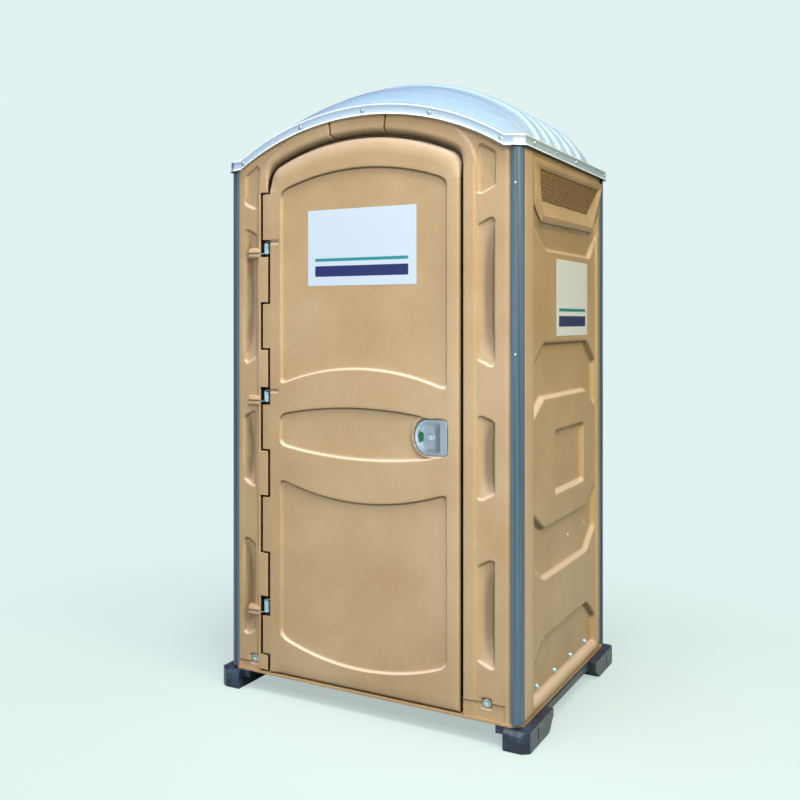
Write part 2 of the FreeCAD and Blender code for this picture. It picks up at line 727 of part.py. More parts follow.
# The lever hangs straight down when the door is free and swings towards the strike to lock
lever = Piece("latch_lever")
bar = [
    ("pivot_across - lever_half", "pivot_height - lever_reach"),
    ("pivot_across + lever_half", "pivot_height - lever_reach"),
    ("pivot_across + lever_half", "pivot_height"),
    ("pivot_across - lever_half", "pivot_height"),
]
lever.pad("XZ", f"{LEVER_FRONT} - lever_thick", [bar], "lever_thick")
lever.disc("XZ", f"{LEVER_FRONT} - lever_thick", "pivot_across", "pivot_height", "44", "lever_thick")
grip = [
    ("pivot_across - 30", "pivot_height + 62"),
    ("pivot_across - 14", "pivot_height + 70"),
    ("pivot_across + 8", "pivot_height + 10"),
    ("pivot_across - 12", "pivot_height"),
]
lever.pad("XZ", f"{LEVER_FRONT} - lever_thick - 12", [grip], "lever_thick + 12")
lever.bore("XZ", LEVER_FRONT, "pivot_across", "pivot_height", "spindle_diameter", "40")

strike = Piece("strike_pin")
strike.disc("XY", "strike_low + 8 + seat_gap", STRIKE_ACROSS, f"-({HINGE_AT} - 11)",
            "strike_diameter", "strike_high - strike_low - 16 - 2 * seat_gap")

rod = Piece("hinge_rod")
rod.disc("XY", "85", "-hinge_left", minus(HINGE_AT), "rod_diameter", "1880 - 85")
rod.disc("XY", "1879.3", "-hinge_left", minus(HINGE_AT), "rod_diameter + 8", "4")


# Hinge springs: torsion coils round the rod, one leg on the stile and one on the door
def biarc(start, leaving, end, arriving):
    """Two tangent arcs between two places with given directions."""
    span = end - start
    both = leaving + arriving
    square = 2 * (1 - leaving.dot(arriving))
    linear = 2 * span.dot(both)
    reach = (-linear + math.sqrt(linear ** 2 + 4 * square * span.dot(span))) / (2 * square)
    first_corner = start + leaving * reach
    last_corner = end - arriving * reach
    joint = (first_corner + last_corner) * 0.5
    arcs = []
    for near, corner, far in ((start, first_corner, joint), (joint, last_corner, end)):
        chord_middle = (near + far) * 0.5
        half_chord = (far - near).Length / 2
        turn = math.acos(half_chord / (corner - near).Length)
        bulge = (corner - chord_middle).normalize() * half_chord * math.tan(turn / 2)
        arcs.append(Part.Arc(near, chord_middle + bulge, far).toShape())
    return arcs


STEPS_PER_TURN = 2
WIRE_SIDES = 6


def spring_shape(low, high):
    """One coil of whole turns whose ends run out level, left on the stile and right on the door."""
    coil = size("spring_coil")
    wire = size("spring_wire")
    turns = int(size("spring_turns"))
    axis = FreeCAD.Vector(-size("hinge_left"), -size(HINGE_AT), 0)
    start_height = low + 8 + size(LEG_SLOT) / 2
    end_height = high - 11 + size(LEG_SLOT) / 2
    pitch = (end_height - start_height) / turns
    steps = turns * STEPS_PER_TURN
    places = []
    ways = []
    for step in range(steps + 1):
        angle = -math.pi / 2 + step * 2 * math.pi / STEPS_PER_TURN
        out = FreeCAD.Vector(math.cos(angle), math.sin(angle), 0)
        rise = FreeCAD.Vector(0, 0, start_height + pitch * step / STEPS_PER_TURN)
        places.append(axis + out * coil + rise)
        climb = pitch / (2 * math.pi * coil)
        way = FreeCAD.Vector(-math.sin(angle), math.cos(angle), climb if 0 < step < steps else 0)
        ways.append(way.normalize())
    left_end = FreeCAD.Vector(-461, places[0].y, places[0].z)
    right_end = FreeCAD.Vector(-343, places[-1].y, places[-1].z)
    edges = [Part.LineSegment(left_end, places[0]).toShape()]
    for step in range(steps):
        edges += biarc(places[step], ways[step], places[step + 1], ways[step + 1])
    edges.append(Part.LineSegment(places[-1], right_end).toShape())
    turns_of_ring = [2 * math.pi * (corner + 0.5) / WIRE_SIDES for corner in range(WIRE_SIDES + 1)]
    ring = [left_end + FreeCAD.Vector(0, math.cos(turn), math.sin(turn)) * (wire / 2) for turn in turns_of_ring]
    section = Part.makePolygon(ring)
    print("spring: least gap between turns", round(pitch - wire, 2), "mm")
    return Part.Wire(edges).makePipeShell([section], True, False)


springs = made_shape("hinge_springs", Part.makeCompound([spring_shape(low, high) for low, high in SPRING_WINDOWS]))


# Side and back walls: formed panels with a stepped field, angled recesses and, at the sides, a vent
BACK_HOLLOW = "wall_depth - field_step - field_recess - skin"


def hexagon_band(half, low_middle, low_edge, high_edge, high_middle):
    """A recess across the wall whose head and foot slope down or up towards its ends."""
    edge = "(wall_field - field_step - 5)"
    return [
        (f"-{half}", low_middle),
        (f"{half}", low_middle),
        (edge, low_edge),
        (edge, high_edge),
        (f"{half}", high_middle),
        (f"-{half}", high_middle),
        (minus(edge), high_edge),
        (minus(edge), low_edge),
    ]


WALL_BANDS = [
    (290, 1128, 1065, 1244, 1326),
    (290, 500, 575, 746, 683),
    (290, 112, 112, 224, 305),
]
UPPER_BAND = (290, 1646, 1715, 1790, 1746)


def wall_relief(wall, plane, side, half, bands):
    """Step the field back from the border and sink the bands into it."""
    border = f"{side} * ({half})"
    level = f"{side} * ({half} - field_step)"
    field = box_outline("-wall_field", "wall_field", "field_foot", "field_top")
    wall.cut(plane, border, [field], "field_step", back=side > 0, draft=DRAFT)
    for band in bands:
        wall.cut(plane, level, [hexagon_band(*band)], "field_recess", back=side > 0, draft=DRAFT)


def make_side_wall(side, node):
    wall = Piece(node)
    half_length = f"({HALF_DEPTH} - post_depth)"
    outline = box_outline(minus(half_length), half_length, "wall_foot", WALL_TOP)
    wall.pad("YZ", f"{side} * ({HALF_WIDTH} - wall_depth)", [outline], "wall_depth", back=side < 0)
    wall_relief(wall, "YZ", side, HALF_WIDTH, WALL_BANDS + [UPPER_BAND])
    level = f"{side} * ({HALF_WIDTH} - field_step)"
    square = box_outline("-150", "250", "780", "1010")
    wall.cut("YZ", level, [square], "field_recess", back=side > 0, draft=EASY_DRAFT)
    sill = [
        ("-vent_half_foot", "vent_foot - 40"),
        ("vent_half_foot", "vent_foot - 40"),
        ("vent_half_top + 22", "vent_top + 16"),
        ("-(vent_half_top + 22)", "vent_top + 16"),
    ]
    opening = [
        ("-(vent_half_foot - 12)", "vent_foot"),
        ("vent_half_foot - 12", "vent_foot"),
        ("vent_half_top - 12", "vent_top - 8"),
        ("-(vent_half_top - 12)", "vent_top - 8"),
    ]
    wall.cut("YZ", level, [sill], "field_recess", back=side > 0, draft=DRAFT)
    wall.cut("YZ", level, [opening], "wall_depth", back=side > 0)
    inside = box_outline(f"-({half_length} - skin)", f"{half_length} - skin", "wall_foot + skin", "vent_foot - 60")
    wall.cut("YZ", f"{side} * ({HALF_WIDTH} - wall_depth)", [inside], BACK_HOLLOW, back=side < 0)
    bolts = [(f"{place}", BOLT_LINE) for place in WALL_BOLTS]
    for across, up in bolts:
        wall.bore("YZ", level, across, up, "bolt_shank + 2 * running_gap", "wall_depth", back=side > 0)
    return wall


BOLT_LINE = "142"
WALL_BOLTS = (-320, -107, 107, 320)
right_wall = make_side_wall(RIGHT, "side_panel_right")
left_wall = make_side_wall(LEFT, "side_panel_left")

back = Piece("back_panel")
back.pad("XZ", f"-({HALF_DEPTH})", [frame_outer], "wall_depth")
wall_relief(back, "XZ", -1, HALF_DEPTH, WALL_BANDS + [UPPER_BAND])
back_hollow = box_outline(f"-({FRAME_EDGE} - skin)", f"{FRAME_EDGE} - skin", "wall_foot + skin", f"{WALL_TOP} - 60")
back.cut("XZ", f"-({HALF_DEPTH} - wall_depth)", [back_hollow], BACK_HOLLOW)
for place in WALL_BOLTS:
    back.bore("XZ", f"-({HALF_DEPTH} - field_step)", str(place), BOLT_LINE, "bolt_shank + 2 * running_gap",
              "wall_depth", back=False)

# Vent screens: slotted sheets behind the openings of the side walls
SCREEN_SLOTS = 20


def make_screen(side, node):
    screen = Piece(node)
    at = f"{side} * ({HALF_WIDTH} - wall_depth - seat_gap)"
    outline = box_outline("-(vent_half_top + 10)", "vent_half_top + 10", "vent_foot - 14", "vent_top + 10")
    screen.pad("YZ", at, [outline], "screen_thick", back=side > 0)
    start = "(20 - vent_half_foot)"
    slot = box_outline(f"{start} + 5", f"{start} + 5 + screen_slot", "vent_foot + 6", "vent_top - 12")
    slots = screen.cut("YZ", at, [slot], "screen_thick", back=side > 0)
    screen.repeat(slots, "YZ", SCREEN_SLOTS, "2 * (vent_half_foot - 20) - 10 - screen_slot")
    return screen


make_screen(RIGHT, "vent_screen_right")
make_screen(LEFT, "vent_screen_left")


# Roof: one formed shell with a flange all round, an arched front and back and a hooped barrel dome
def arch(half, foot, crest, at):
    """Closed outline of an arch that stands on a level line, across the cabin."""
    radius = (half ** 2 + (crest - foot) ** 2) / (2 * (crest - foot))
    left = FreeCAD.Vector(-half, at, foot)
    right = FreeCAD.Vector(half, at, foot)
    return Part.Arc(left, FreeCAD.Vector(0, at, crest), right).toShape(), left, right, radius


def dome_section(at, crest, shoulder, shoulder_height, foot, foot_height):
    """Closed section of the dome: a level foot, two flanks and an arched top."""
    top, left, right, radius = arch(shoulder, shoulder_height, crest, at)
    left_foot = FreeCAD.Vector(-foot, at, foot_height)
    right_foot = FreeCAD.Vector(foot, at, foot_height)
    edges = [
        top,
        Part.LineSegment(right, right_foot).toShape(),
        Part.LineSegment(right_foot, left_foot).toShape(),
        Part.LineSegment(left_foot, left).toShape(),
    ]
    return Part.Wire(edges)


FRONT_SLOPE = [(-0.995, 0.0), (-0.9, 0.24), (-0.76, 0.52), (-0.6, 0.76), (-0.43, 0.92), (-0.27, 1.0)]
BACK_SLOPE = [(0.8, 1.0), (0.9, 0.86), (0.96, 0.55), (0.995, 0.0)]
HOOPS = 5
HOOP_EDGE = 0.22


def dome_stations():
    """Places along the roof, the share of the full height there, and whether a hoop is raised there."""
    stations = [(share, rise, 0.0) for share, rise in FRONT_SLOPE]
    start = FRONT_SLOPE[-1][0]
    pitch = (BACK_SLOPE[0][0] - start) / HOOPS
    for hoop in range(HOOPS):
        base = start + pitch * hoop
        for part, raised in ((0.18, 0.0), (0.18 + HOOP_EDGE * 0.6, 1.0), (0.82 - HOOP_EDGE * 0.6, 1.0), (0.82, 0.0)):
            stations.append((base + pitch * part, 1.0, raised))
    return stations + [(share, rise, 0.0) for share, rise in BACK_SLOPE]


def dome_solid(inset):
    """The dome's outer form, or the hollow inside it when inset is the skin."""
    half = size(HALF_DEPTH)
    low_crest = size("arch_crest + flange_height")
    sections = []
    for share, rise, raised in dome_stations():
        crest = low_crest + (size("dome_crest") - low_crest) * rise + size("hoop_rise") * raised
        shoulder = size("arch_half") + (size("dome_shoulder") - size("arch_half")) * rise
        flange_top = size("arch_low + flange_height")
        height = flange_top + (size("dome_shoulder_height") - flange_top) * rise
        lift = size("hoop_rise") * raised * 0.7
        sections.append(dome_section(
            share * (half - inset), crest - inset, shoulder - inset + lift, height - inset * 0.6 + lift,
            size("dome_foot") - inset + lift, flange_top - 6 - inset))
    return Part.makeLoft(sections, True, True)


def flange_solid(inset, low):
    """The block under the flange's arched top, inset all round."""
    lap = size("roof_gap") + size("roof_skin") - inset
    half_width = size(HALF_WIDTH) + lap
    half_depth = size(HALF_DEPTH) + lap
    foot = size("arch_low + flange_height") - inset
    crest = size("arch_crest + flange_height") - inset
    half = size("arch_half")
    top, left, right, radius = arch(half, foot, crest, -half_depth)
    places = [
        right,
        FreeCAD.Vector(half_width, -half_depth, foot),
        FreeCAD.Vector(half_width, -half_depth, low),
        FreeCAD.Vector(-half_width, -half_depth, low),
        FreeCAD.Vector(-half_width, -half_depth, foot),
        left,
    ]
    edges = [top] + [Part.LineSegment(a, b).toShape() for a, b in zip(places, places[1:])]
    block = Part.Face(Part.Wire(edges)).extrude(FreeCAD.Vector(0, 2 * half_depth, 0))
    cut_x = size("post_width") - 13
    cut_y = size("post_depth") - 10
    for across in (-1, 1):
        for along in (-1, 1):
            corner = [
                FreeCAD.Vector(across * (half_width + 1), along * (half_depth + 1), low - 1),
                FreeCAD.Vector(across * (half_width + 1), along * (half_depth - cut_y), low - 1),
                FreeCAD.Vector(across * (half_width - cut_x), along * (half_depth + 1), low - 1),
            ]
            wire = Part.makePolygon(corner + corner[:1])
            block = block.cut(Part.Face(wire).extrude(FreeCAD.Vector(0, 0, crest - low + 2)))
    return block


def under_arch():
    """What is cut away under the front and back arches of the flange."""
    half_depth = size(HALF_DEPTH) + 20
    low = size("arch_low")
    top, left, right, radius = arch(size("arch_half"), low, size("arch_crest"), -half_depth)
    places = [right, FreeCAD.Vector(right.x, -half_depth, low - 60), FreeCAD.Vector(left.x, -half_depth, low - 60), left]
    edges = [top] + [Part.LineSegment(a, b).toShape() for a, b in zip(places, places[1:])]
    return Part.Face(Part.Wire(edges)).extrude(FreeCAD.Vector(0, 2 * half_depth, 0))


roof_low = size("arch_low")
roof_skin = size("roof_skin")
outer_roof = flange_solid(0, roof_low).fuse(dome_solid(0))
inner_roof = flange_solid(roof_skin, roof_low - 10).fuse(dome_solid(roof_skin))
PIPE_HOLE = size("pipe_diameter") / 2 + 2
PIPE_FOOT = FreeCAD.Vector(-size(PIPE_ACROSS), size("pipe_back"), roof_low)
pipe_hole = Part.makeCylinder(PIPE_HOLE, size("dome_crest + 2 * hoop_rise") - roof_low, PIPE_FOOT)
roof_shape = outer_roof.cut(inner_roof).cut(under_arch()).cut(pipe_hole)
roof = made_shape("roof", roof_shape)

# Waste tank: an open tub with a sloped front, covered by the bench
URINAL_WALL = f"({HALF_WIDTH} - wall_depth + {BACK_HOLLOW})"
URINAL_DRAIN = f"({URINAL_WALL} - drain_from_wall)"
TANK_BACK = f"({INNER_Y} - upstand_width - 4)"
TANK_RIM = "(tank_top - seat_thick)"
tank = Piece("waste_tank")
tank_profile = [
    ("tank_front + 24", "deck_height + seat_gap"),
    (TANK_BACK, "deck_height + seat_gap"),
    (TANK_BACK, TANK_RIM),
    ("tank_front", TANK_RIM),
]
tank.pad("YZ", minus(TANK_HALF), [tank_profile], f"2 * {TANK_HALF}")
tank_hollow = [
    ("tank_front + 24 + tank_wall", "deck_height + seat_gap + tank_wall"),
    (f"{TANK_BACK} - tank_wall", "deck_height + seat_gap + tank_wall"),
    (f"{TANK_BACK} - tank_wall", f"{TANK_RIM} + 1"),
    ("tank_front + tank_wall", f"{TANK_RIM} + 1"),
]
tank.cut("YZ", f"{TANK_HALF} - tank_wall", [tank_hollow], f"2 * ({TANK_HALF} - tank_wall)")

# Bench over the tank: a stiff cover with a seat opening, a pipe socket and two hinge blocks
SEAT_BACK = "(seat_middle + 205)"
PIN_UP = "(tank_top + seat_thick / 2 + 3)"
bench = Piece("tank_bench")
bench_edge = box_outline(f"-({INNER_X} - 2)", f"{INNER_X} - 2", "tank_front - 14", f"{INNER_Y} - 2")
bench.pad("XY", TANK_RIM, [bench_edge], "seat_thick")
SKIRT_HALF = f"({INNER_X} - upstand_width - 2)"
skirt = box_outline(minus(SKIRT_HALF), SKIRT_HALF, "tank_front - 14", "tank_front - 8")
bench.pad("XY", "deck_height + seat_gap", [skirt], f"{TANK_RIM} - deck_height - seat_gap")
bench.bore("XY", "tank_top", "0", "seat_middle", "2 * seat_opening", "seat_thick")
bench.bore("XY", "tank_top", minus(PIPE_ACROSS), "pipe_back", "pipe_diameter - 2 * pipe_wall", "seat_thick")
bench.bore("XY", "tank_top", URINAL_DRAIN, "urinal_along", "drain_diameter - 6", "seat_thick")
for place in (-112, 112):
    block = [
        (f"{SEAT_BACK} - seat_pin", "tank_top"),
        (f"{SEAT_BACK} + seat_pin", "tank_top"),
        (f"{SEAT_BACK} + seat_pin", f"{PIN_UP} + seat_pin"),
        (f"{SEAT_BACK} - seat_pin", f"{PIN_UP} + seat_pin"),
    ]
    bench.pad("YZ", f"{place} - 12", [block], "24")
PIN_HOLE = "seat_pin + 2 * running_gap"
bench.bore("YZ", "126", SEAT_BACK, PIN_UP, PIN_HOLE, "252")

seat_pin = Piece("seat_hinge_pin")
seat_pin.disc("YZ", "-126", SEAT_BACK, PIN_UP, "seat_pin", "252")


def seat_outline(half_width, front, rear):
    """Rounded oblong of the seat or the lid."""
    return [
        (half_width, f"seat_middle - {front} + {half_width}"),
        (half_width, f"seat_middle + {rear}"),
        (f"-{half_width}", f"seat_middle + {rear}"),
        (f"-{half_width}", f"seat_middle - {front} + {half_width}",
         arch_radius(half_width, f"({half_width} * 0.98)")),
    ]


# Seat ring: held by its two hinge lugs on the pin
seat = Piece("toilet_seat")
SEAT_AT = "(tank_top + seat_gap)"
seat.pad("XY", SEAT_AT, [seat_outline("180", "200", "170")], "seat_thick", draft="-12")
seat_hole = seat_outline("105", "145", "95")
seat.cut("XY", f"{SEAT_AT} + seat_thick", [seat_hole], "seat_thick")
for place in (-70, 70):
    lug = [
        ("seat_middle + 160", SEAT_AT),
        (f"{SEAT_BACK} + seat_pin", SEAT_AT),
        (f"{SEAT_BACK} + seat_pin", f"{PIN_UP} + seat_pin"),
        (f"{SEAT_BACK} - seat_pin", f"{PIN_UP} + seat_pin"),
        ("seat_middle + 160", f"{SEAT_AT} + seat_thick - 4"),
    ]
    seat.pad("YZ", f"{place} - 10", [lug], "20")
seat.bore("YZ", "100", SEAT_BACK, PIN_UP, PIN_HOLE, "200")

# Lid: lies on the seat and turns up about the same pin
lid = Piece("seat_lid")
LID_AT = f"({SEAT_AT} + seat_thick + seat_gap)"
lid.pad("XY", LID_AT, [seat_outline("186", "205", "165")], "lid_thick", draft="-20")
lid_hollow = seat_outline("160", "178", "140")
lid.cut("XY", LID_AT, [lid_hollow], "lid_thick - 5", back=False)
for place in (-36, 36):
    lug = [
        ("seat_middle + 150", LID_AT),
        ("seat_middle + 176", LID_AT),
        (f"{SEAT_BACK} - seat_pin", f"{PIN_UP} - seat_pin"),
        (f"{SEAT_BACK} + seat_pin", f"{PIN_UP} - seat_pin"),
        (f"{SEAT_BACK} + seat_pin", f"{PIN_UP} + seat_pin"),
        ("seat_middle + 180", f"{LID_AT} + lid_thick - 4"),
        ("seat_middle + 150", f"{LID_AT} + lid_thick - 4"),
    ]
    lid.pad("YZ", f"{place} - 10", [lug], "20")
lid.bore("YZ", "60", SEAT_BACK, PIN_UP, PIN_HOLE, "120")

# Vent pipe from the tank through the roof, with a rain cap on three legs
pipe = Piece("vent_pipe")
pipe.disc("XY", "tank_top", minus(PIPE_ACROSS), "pipe_back", "pipe_diameter", "pipe_top - tank_top - 40")
pipe.bore("XY", "pipe_top", minus(PIPE_ACROSS), "pipe_back", "pipe_diameter - 2 * pipe_wall", "pipe_top - tank_top")
cap = Piece("vent_cap")
cap.disc("XY", "pipe_top - 12", minus(PIPE_ACROSS), "pipe_back", "pipe_diameter + 26", "6")
for leg in range(3):
    angle = math.radians(90 + 120 * leg)
    reach = "(pipe_diameter / 2 - pipe_wall / 2)"
    across = f"-{PIPE_ACROSS} + {reach} * {math.cos(angle):.6f}"
    along = f"pipe_back + {reach} * {math.sin(angle):.6f}"
    leg_outline = box_outline(f"{across} - pipe_wall / 2", f"{across} + pipe_wall / 2", f"{along} - pipe_wall / 2",
                              f"{along} + pipe_wall / 2")
    cap.pad("XY", "pipe_top - 40", [leg_outline], "28")

# Urinal on the right wall, drained through the bench
urinal = Piece("urinal")
urinal_form = [
    (URINAL_WALL, "urinal_top"),
    (f"{URINAL_WALL} - 46", "urinal_top"),
    (f"{URINAL_WALL} - urinal_reach", "urinal_foot + 120"),
    (f"{URINAL_WALL} - urinal_reach", "urinal_foot + 90"),
    (f"{URINAL_WALL} - urinal_reach + 80", "urinal_foot"),
    (URINAL_WALL, "urinal_foot"),
]
urinal.pad("XZ", "-(urinal_along + urinal_half)", [urinal_form], "2 * urinal_half")
urinal_hollow = [
    (f"{URINAL_WALL} - 7", "urinal_top - 7"),
    (f"{URINAL_WALL} - 60", "urinal_top - 7"),
    (f"{URINAL_WALL} - urinal_reach - 20", "urinal_foot + 125"),
    (f"{URINAL_WALL} - urinal_reach + 8", "urinal_foot + 125"),
    (f"{URINAL_WALL} - urinal_reach + 8", "urinal_foot + 94"),
    (f"{URINAL_WALL} - urinal_reach + 84", "urinal_foot + 10"),
    (f"{URINAL_WALL} - 7", "urinal_foot + 10"),
]
urinal.cut("XZ", "-(urinal_along - urinal_half + 7)", [urinal_hollow], "2 * urinal_half - 14")
urinal.bore("XY", "urinal_foot + 12", URINAL_DRAIN, "urinal_along", "drain_diameter - 6", "14")

drain = Piece("urinal_drain")
drain_rings = [round_outline(URINAL_DRAIN, "urinal_along", wide) for wide in ("drain_diameter", "drain_diameter - 6")]
drain.pad("XY", "tank_top", drain_rings, "urinal_foot - tank_top")

# Paper holder on the left wall: a shelf with two cheeks that carry a rod
holder = Piece("paper_holder")
HOLDER_WALL = minus(URINAL_WALL)
holder_form = [
    (HOLDER_WALL, "paper_height - 60"),
    (f"{HOLDER_WALL} + 70", "paper_height - 20"),
    (f"{HOLDER_WALL} + 90", "paper_height + 16"),
    (f"{HOLDER_WALL} + 90", "paper_height + 64"),
    (HOLDER_WALL, "paper_height + 64"),
]
holder.pad("XZ", "-(paper_along + paper_half)", [holder_form], "2 * paper_half")
between = box_outline(f"{HOLDER_WALL} + 4", f"{HOLDER_WALL} + 100", "paper_height - 70", "paper_height + 60")
holder.cut("XZ", "-(paper_along - paper_half + 4)", [between], "2 * paper_half - 8")
holder.bore("XZ", "-(paper_along - paper_half)", f"{HOLDER_WALL} + 56", "paper_height", "paper_rod + 2 * running_gap",
            "2 * paper_half")
paper_rod = Piece("paper_rod")
paper_rod.disc("XZ", "-(paper_along + paper_half)", f"{HOLDER_WALL} + 56", "paper_height", "paper_rod",
               "2 * paper_half")


# Fasteners: rivet heads round the roof flange, bolts at the foot of the walls and of the front frame
HEAD_SIDES = 8


def ring_wire(place, out, radius):
    """Even polygon about a place, square to a direction."""
    side = out.cross(FreeCAD.Vector(0, 0, 1)).normalize()
    up = out.cross(side)
    turns = [2 * math.pi * (corner + 0.5) / HEAD_SIDES for corner in range(HEAD_SIDES + 1)]
    return Part.makePolygon([place + side * (radius * math.cos(turn)) + up * (radius * math.sin(turn)) for turn in turns])


def head_shape(place, out, diameter, rise):
    """Head that stands on a surface and narrows to three fifths of its width."""
    return Part.makeLoft([ring_wire(place, out, diameter / 2), ring_wire(place + out * rise, out, diameter * 0.3)], True, True)


FRONTWARD = FreeCAD.Vector(0, -1, 0)
BACKWARD = FreeCAD.Vector(0, 1, 0)
FLANGE_OUT = size("roof_gap") + size("roof_skin")
flange_middle = size("arch_low") + size("flange_height") / 2
middle_crest = size("arch_crest") + size("flange_height") / 2
arch_rise = middle_crest - flange_middle
middle_radius = (size("arch_half") ** 2 + arch_rise ** 2) / (2 * arch_rise)
heads = []
for across in (-491, -246, 0, 246, 491):
    height = middle_crest - middle_radius + math.sqrt(middle_radius ** 2 - across ** 2)
    for out in (FRONTWARD, BACKWARD):
        place = FreeCAD.Vector(across, out.y * (size(HALF_DEPTH) + FLANGE_OUT), height)
        heads.append(head_shape(place, out, size("rivet_head"), size("rivet_rise")))
for along in (-450, -150, 150, 450):
    for side in (RIGHT, LEFT):
        out = FreeCAD.Vector(side, 0, 0)
        place = FreeCAD.Vector(side * (size(HALF_WIDTH) + FLANGE_OUT), along, flange_middle)
        heads.append(head_shape(place, out, size("rivet_head"), size("rivet_rise")))
made_shape("roof_rivets", Part.makeCompound(heads))


def bolt_shape(place, out, shank):
    """A head on a surface with its shank through it."""
    head = head_shape(place, out, size("bolt_head"), size("bolt_rise"))
    if not shank:
        return head
    return head.fuse(Part.Face(ring_wire(place, out, size("bolt_shank") / 2)).extrude(out * -shank))


sunk = size(HALF_WIDTH) - size("field_step") - size("field_recess")
sunk_back = size(HALF_DEPTH) - size("field_step") - size("field_recess")
shank_side = sunk - size(INNER_X)
shank_back = sunk_back - size(INNER_Y)
bolts = []
for along in WALL_BOLTS:
    for side in (RIGHT, LEFT):
        place = FreeCAD.Vector(side * sunk, along, size(BOLT_LINE))
        bolts.append(bolt_shape(place, FreeCAD.Vector(side, 0, 0), shank_side))
    bolts.append(bolt_shape(FreeCAD.Vector(along, sunk_back, size(BOLT_LINE)), BACKWARD, shank_back))
made_shape("wall_bolts", Part.makeCompound(bolts))

ledge_floor = size(STILE) - size("stile_recess")
anchors = [bolt_shape(FreeCAD.Vector(size(across), -ledge_floor, size(up)), FRONTWARD, 0) for across, up in BOLT_POCKETS]
made_shape("frame_anchor_bolts", Part.makeCompound(anchors))


# Check and write
doc.recompute()
nodes = [item for item in doc.Objects if item.TypeId in ("PartDesign::Body", "Part::Feature")]
faults = [f"{item.Name}: {item.State}" for item in doc.Objects if "Invalid" in item.State or "Error" in item.State]
faults += [f"{node.Label}: no valid shape" for node in nodes if node.Shape.isNull() or not node.Shape.isValid()]
if faults:
    raise SystemExit("\n".join(faults))
for node in nodes:
    node.Shape.exportStep(f"parts/{node.Label}.step")
print(len(nodes), "sub-parts written")
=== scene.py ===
"""The looks of a portable toilet cabin: formed shells, a domed roof, hinge, latch, vents and fittings."""
import json
import logging
import math
from dataclasses import dataclass
from enum import Enum
from typing import Callable, Optional, Sequence

import bmesh
import bpy
import numpy as np
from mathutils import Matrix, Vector

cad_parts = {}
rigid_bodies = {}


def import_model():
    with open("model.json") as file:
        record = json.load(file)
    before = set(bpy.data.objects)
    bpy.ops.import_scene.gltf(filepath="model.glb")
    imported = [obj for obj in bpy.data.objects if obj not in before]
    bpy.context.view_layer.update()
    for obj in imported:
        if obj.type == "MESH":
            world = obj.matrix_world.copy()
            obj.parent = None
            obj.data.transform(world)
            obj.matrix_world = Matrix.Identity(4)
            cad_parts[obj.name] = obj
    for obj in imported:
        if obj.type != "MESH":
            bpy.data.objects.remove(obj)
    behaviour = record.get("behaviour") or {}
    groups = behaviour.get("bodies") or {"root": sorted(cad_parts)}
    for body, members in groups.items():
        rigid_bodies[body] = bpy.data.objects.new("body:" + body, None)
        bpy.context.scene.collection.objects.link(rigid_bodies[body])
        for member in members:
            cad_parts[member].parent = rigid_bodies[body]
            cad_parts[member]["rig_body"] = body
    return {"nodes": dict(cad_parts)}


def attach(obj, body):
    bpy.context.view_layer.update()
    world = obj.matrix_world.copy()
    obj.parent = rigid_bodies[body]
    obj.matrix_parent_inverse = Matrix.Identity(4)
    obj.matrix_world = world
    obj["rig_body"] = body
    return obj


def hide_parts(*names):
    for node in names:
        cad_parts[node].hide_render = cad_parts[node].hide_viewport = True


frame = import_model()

Tree, Node, Socket, Piece = bpy.types.NodeTree, bpy.types.Node, bpy.types.NodeSocket, bpy.types.Object
LOG = logging.getLogger("cabin")
MM = 0.001
BATCH = 20000  # places measured against an outline at a time
# Strength of the painted shade on overhangs and of the painted highlight on ledges.
PAINTED_SHADE_SHARE, HIGHLIGHT_GAIN, HIGHLIGHT_SHARE = 0.62, 1.3, 0.6  # how strongly overhangs darken and ledges turn pale
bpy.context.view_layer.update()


# ---------------------------------------------------------------- colours and nodes
def linear(code: str) -> tuple[float, float, float, float]:
    """Turn six sRGB hex digits after a hash into linear red, green, blue and alpha."""
    parts = [int(code[at:at + 2], 16) / 255 for at in (1, 3, 5)]
    red, green, blue = (c / 12.92 if c <= 0.04045 else ((c + 0.055) / 1.055) ** 2.4 for c in parts)
    return red, green, blue, 1.0


def add(tree: Tree, kind: str, inputs: Optional[dict] = None, stops: Sequence = (), **settings: object) -> Node:
    """Add one node with its settings, its input values and its links.

    Args:
        tree: The node tree that gets the node.
        kind: The node's type name.
        inputs: Input name or index to a value, or to the output socket that feeds it.
        stops: Places and hex colours of a colour ramp.
        settings: Attributes of the node.

    Returns:
        The new node.
    """
    node = tree.nodes.new(kind)
    for name, value in settings.items():
        setattr(node, name, value)
    for name, value in (inputs or {}).items():
        if isinstance(value, Socket):
            tree.links.new(value, node.inputs[name])
        else:
            node.inputs[name].default_value = value
    for at, (place, code) in enumerate(stops):
        element = node.color_ramp.elements[at]
        element.position, element.color = place, linear(code)
    return node


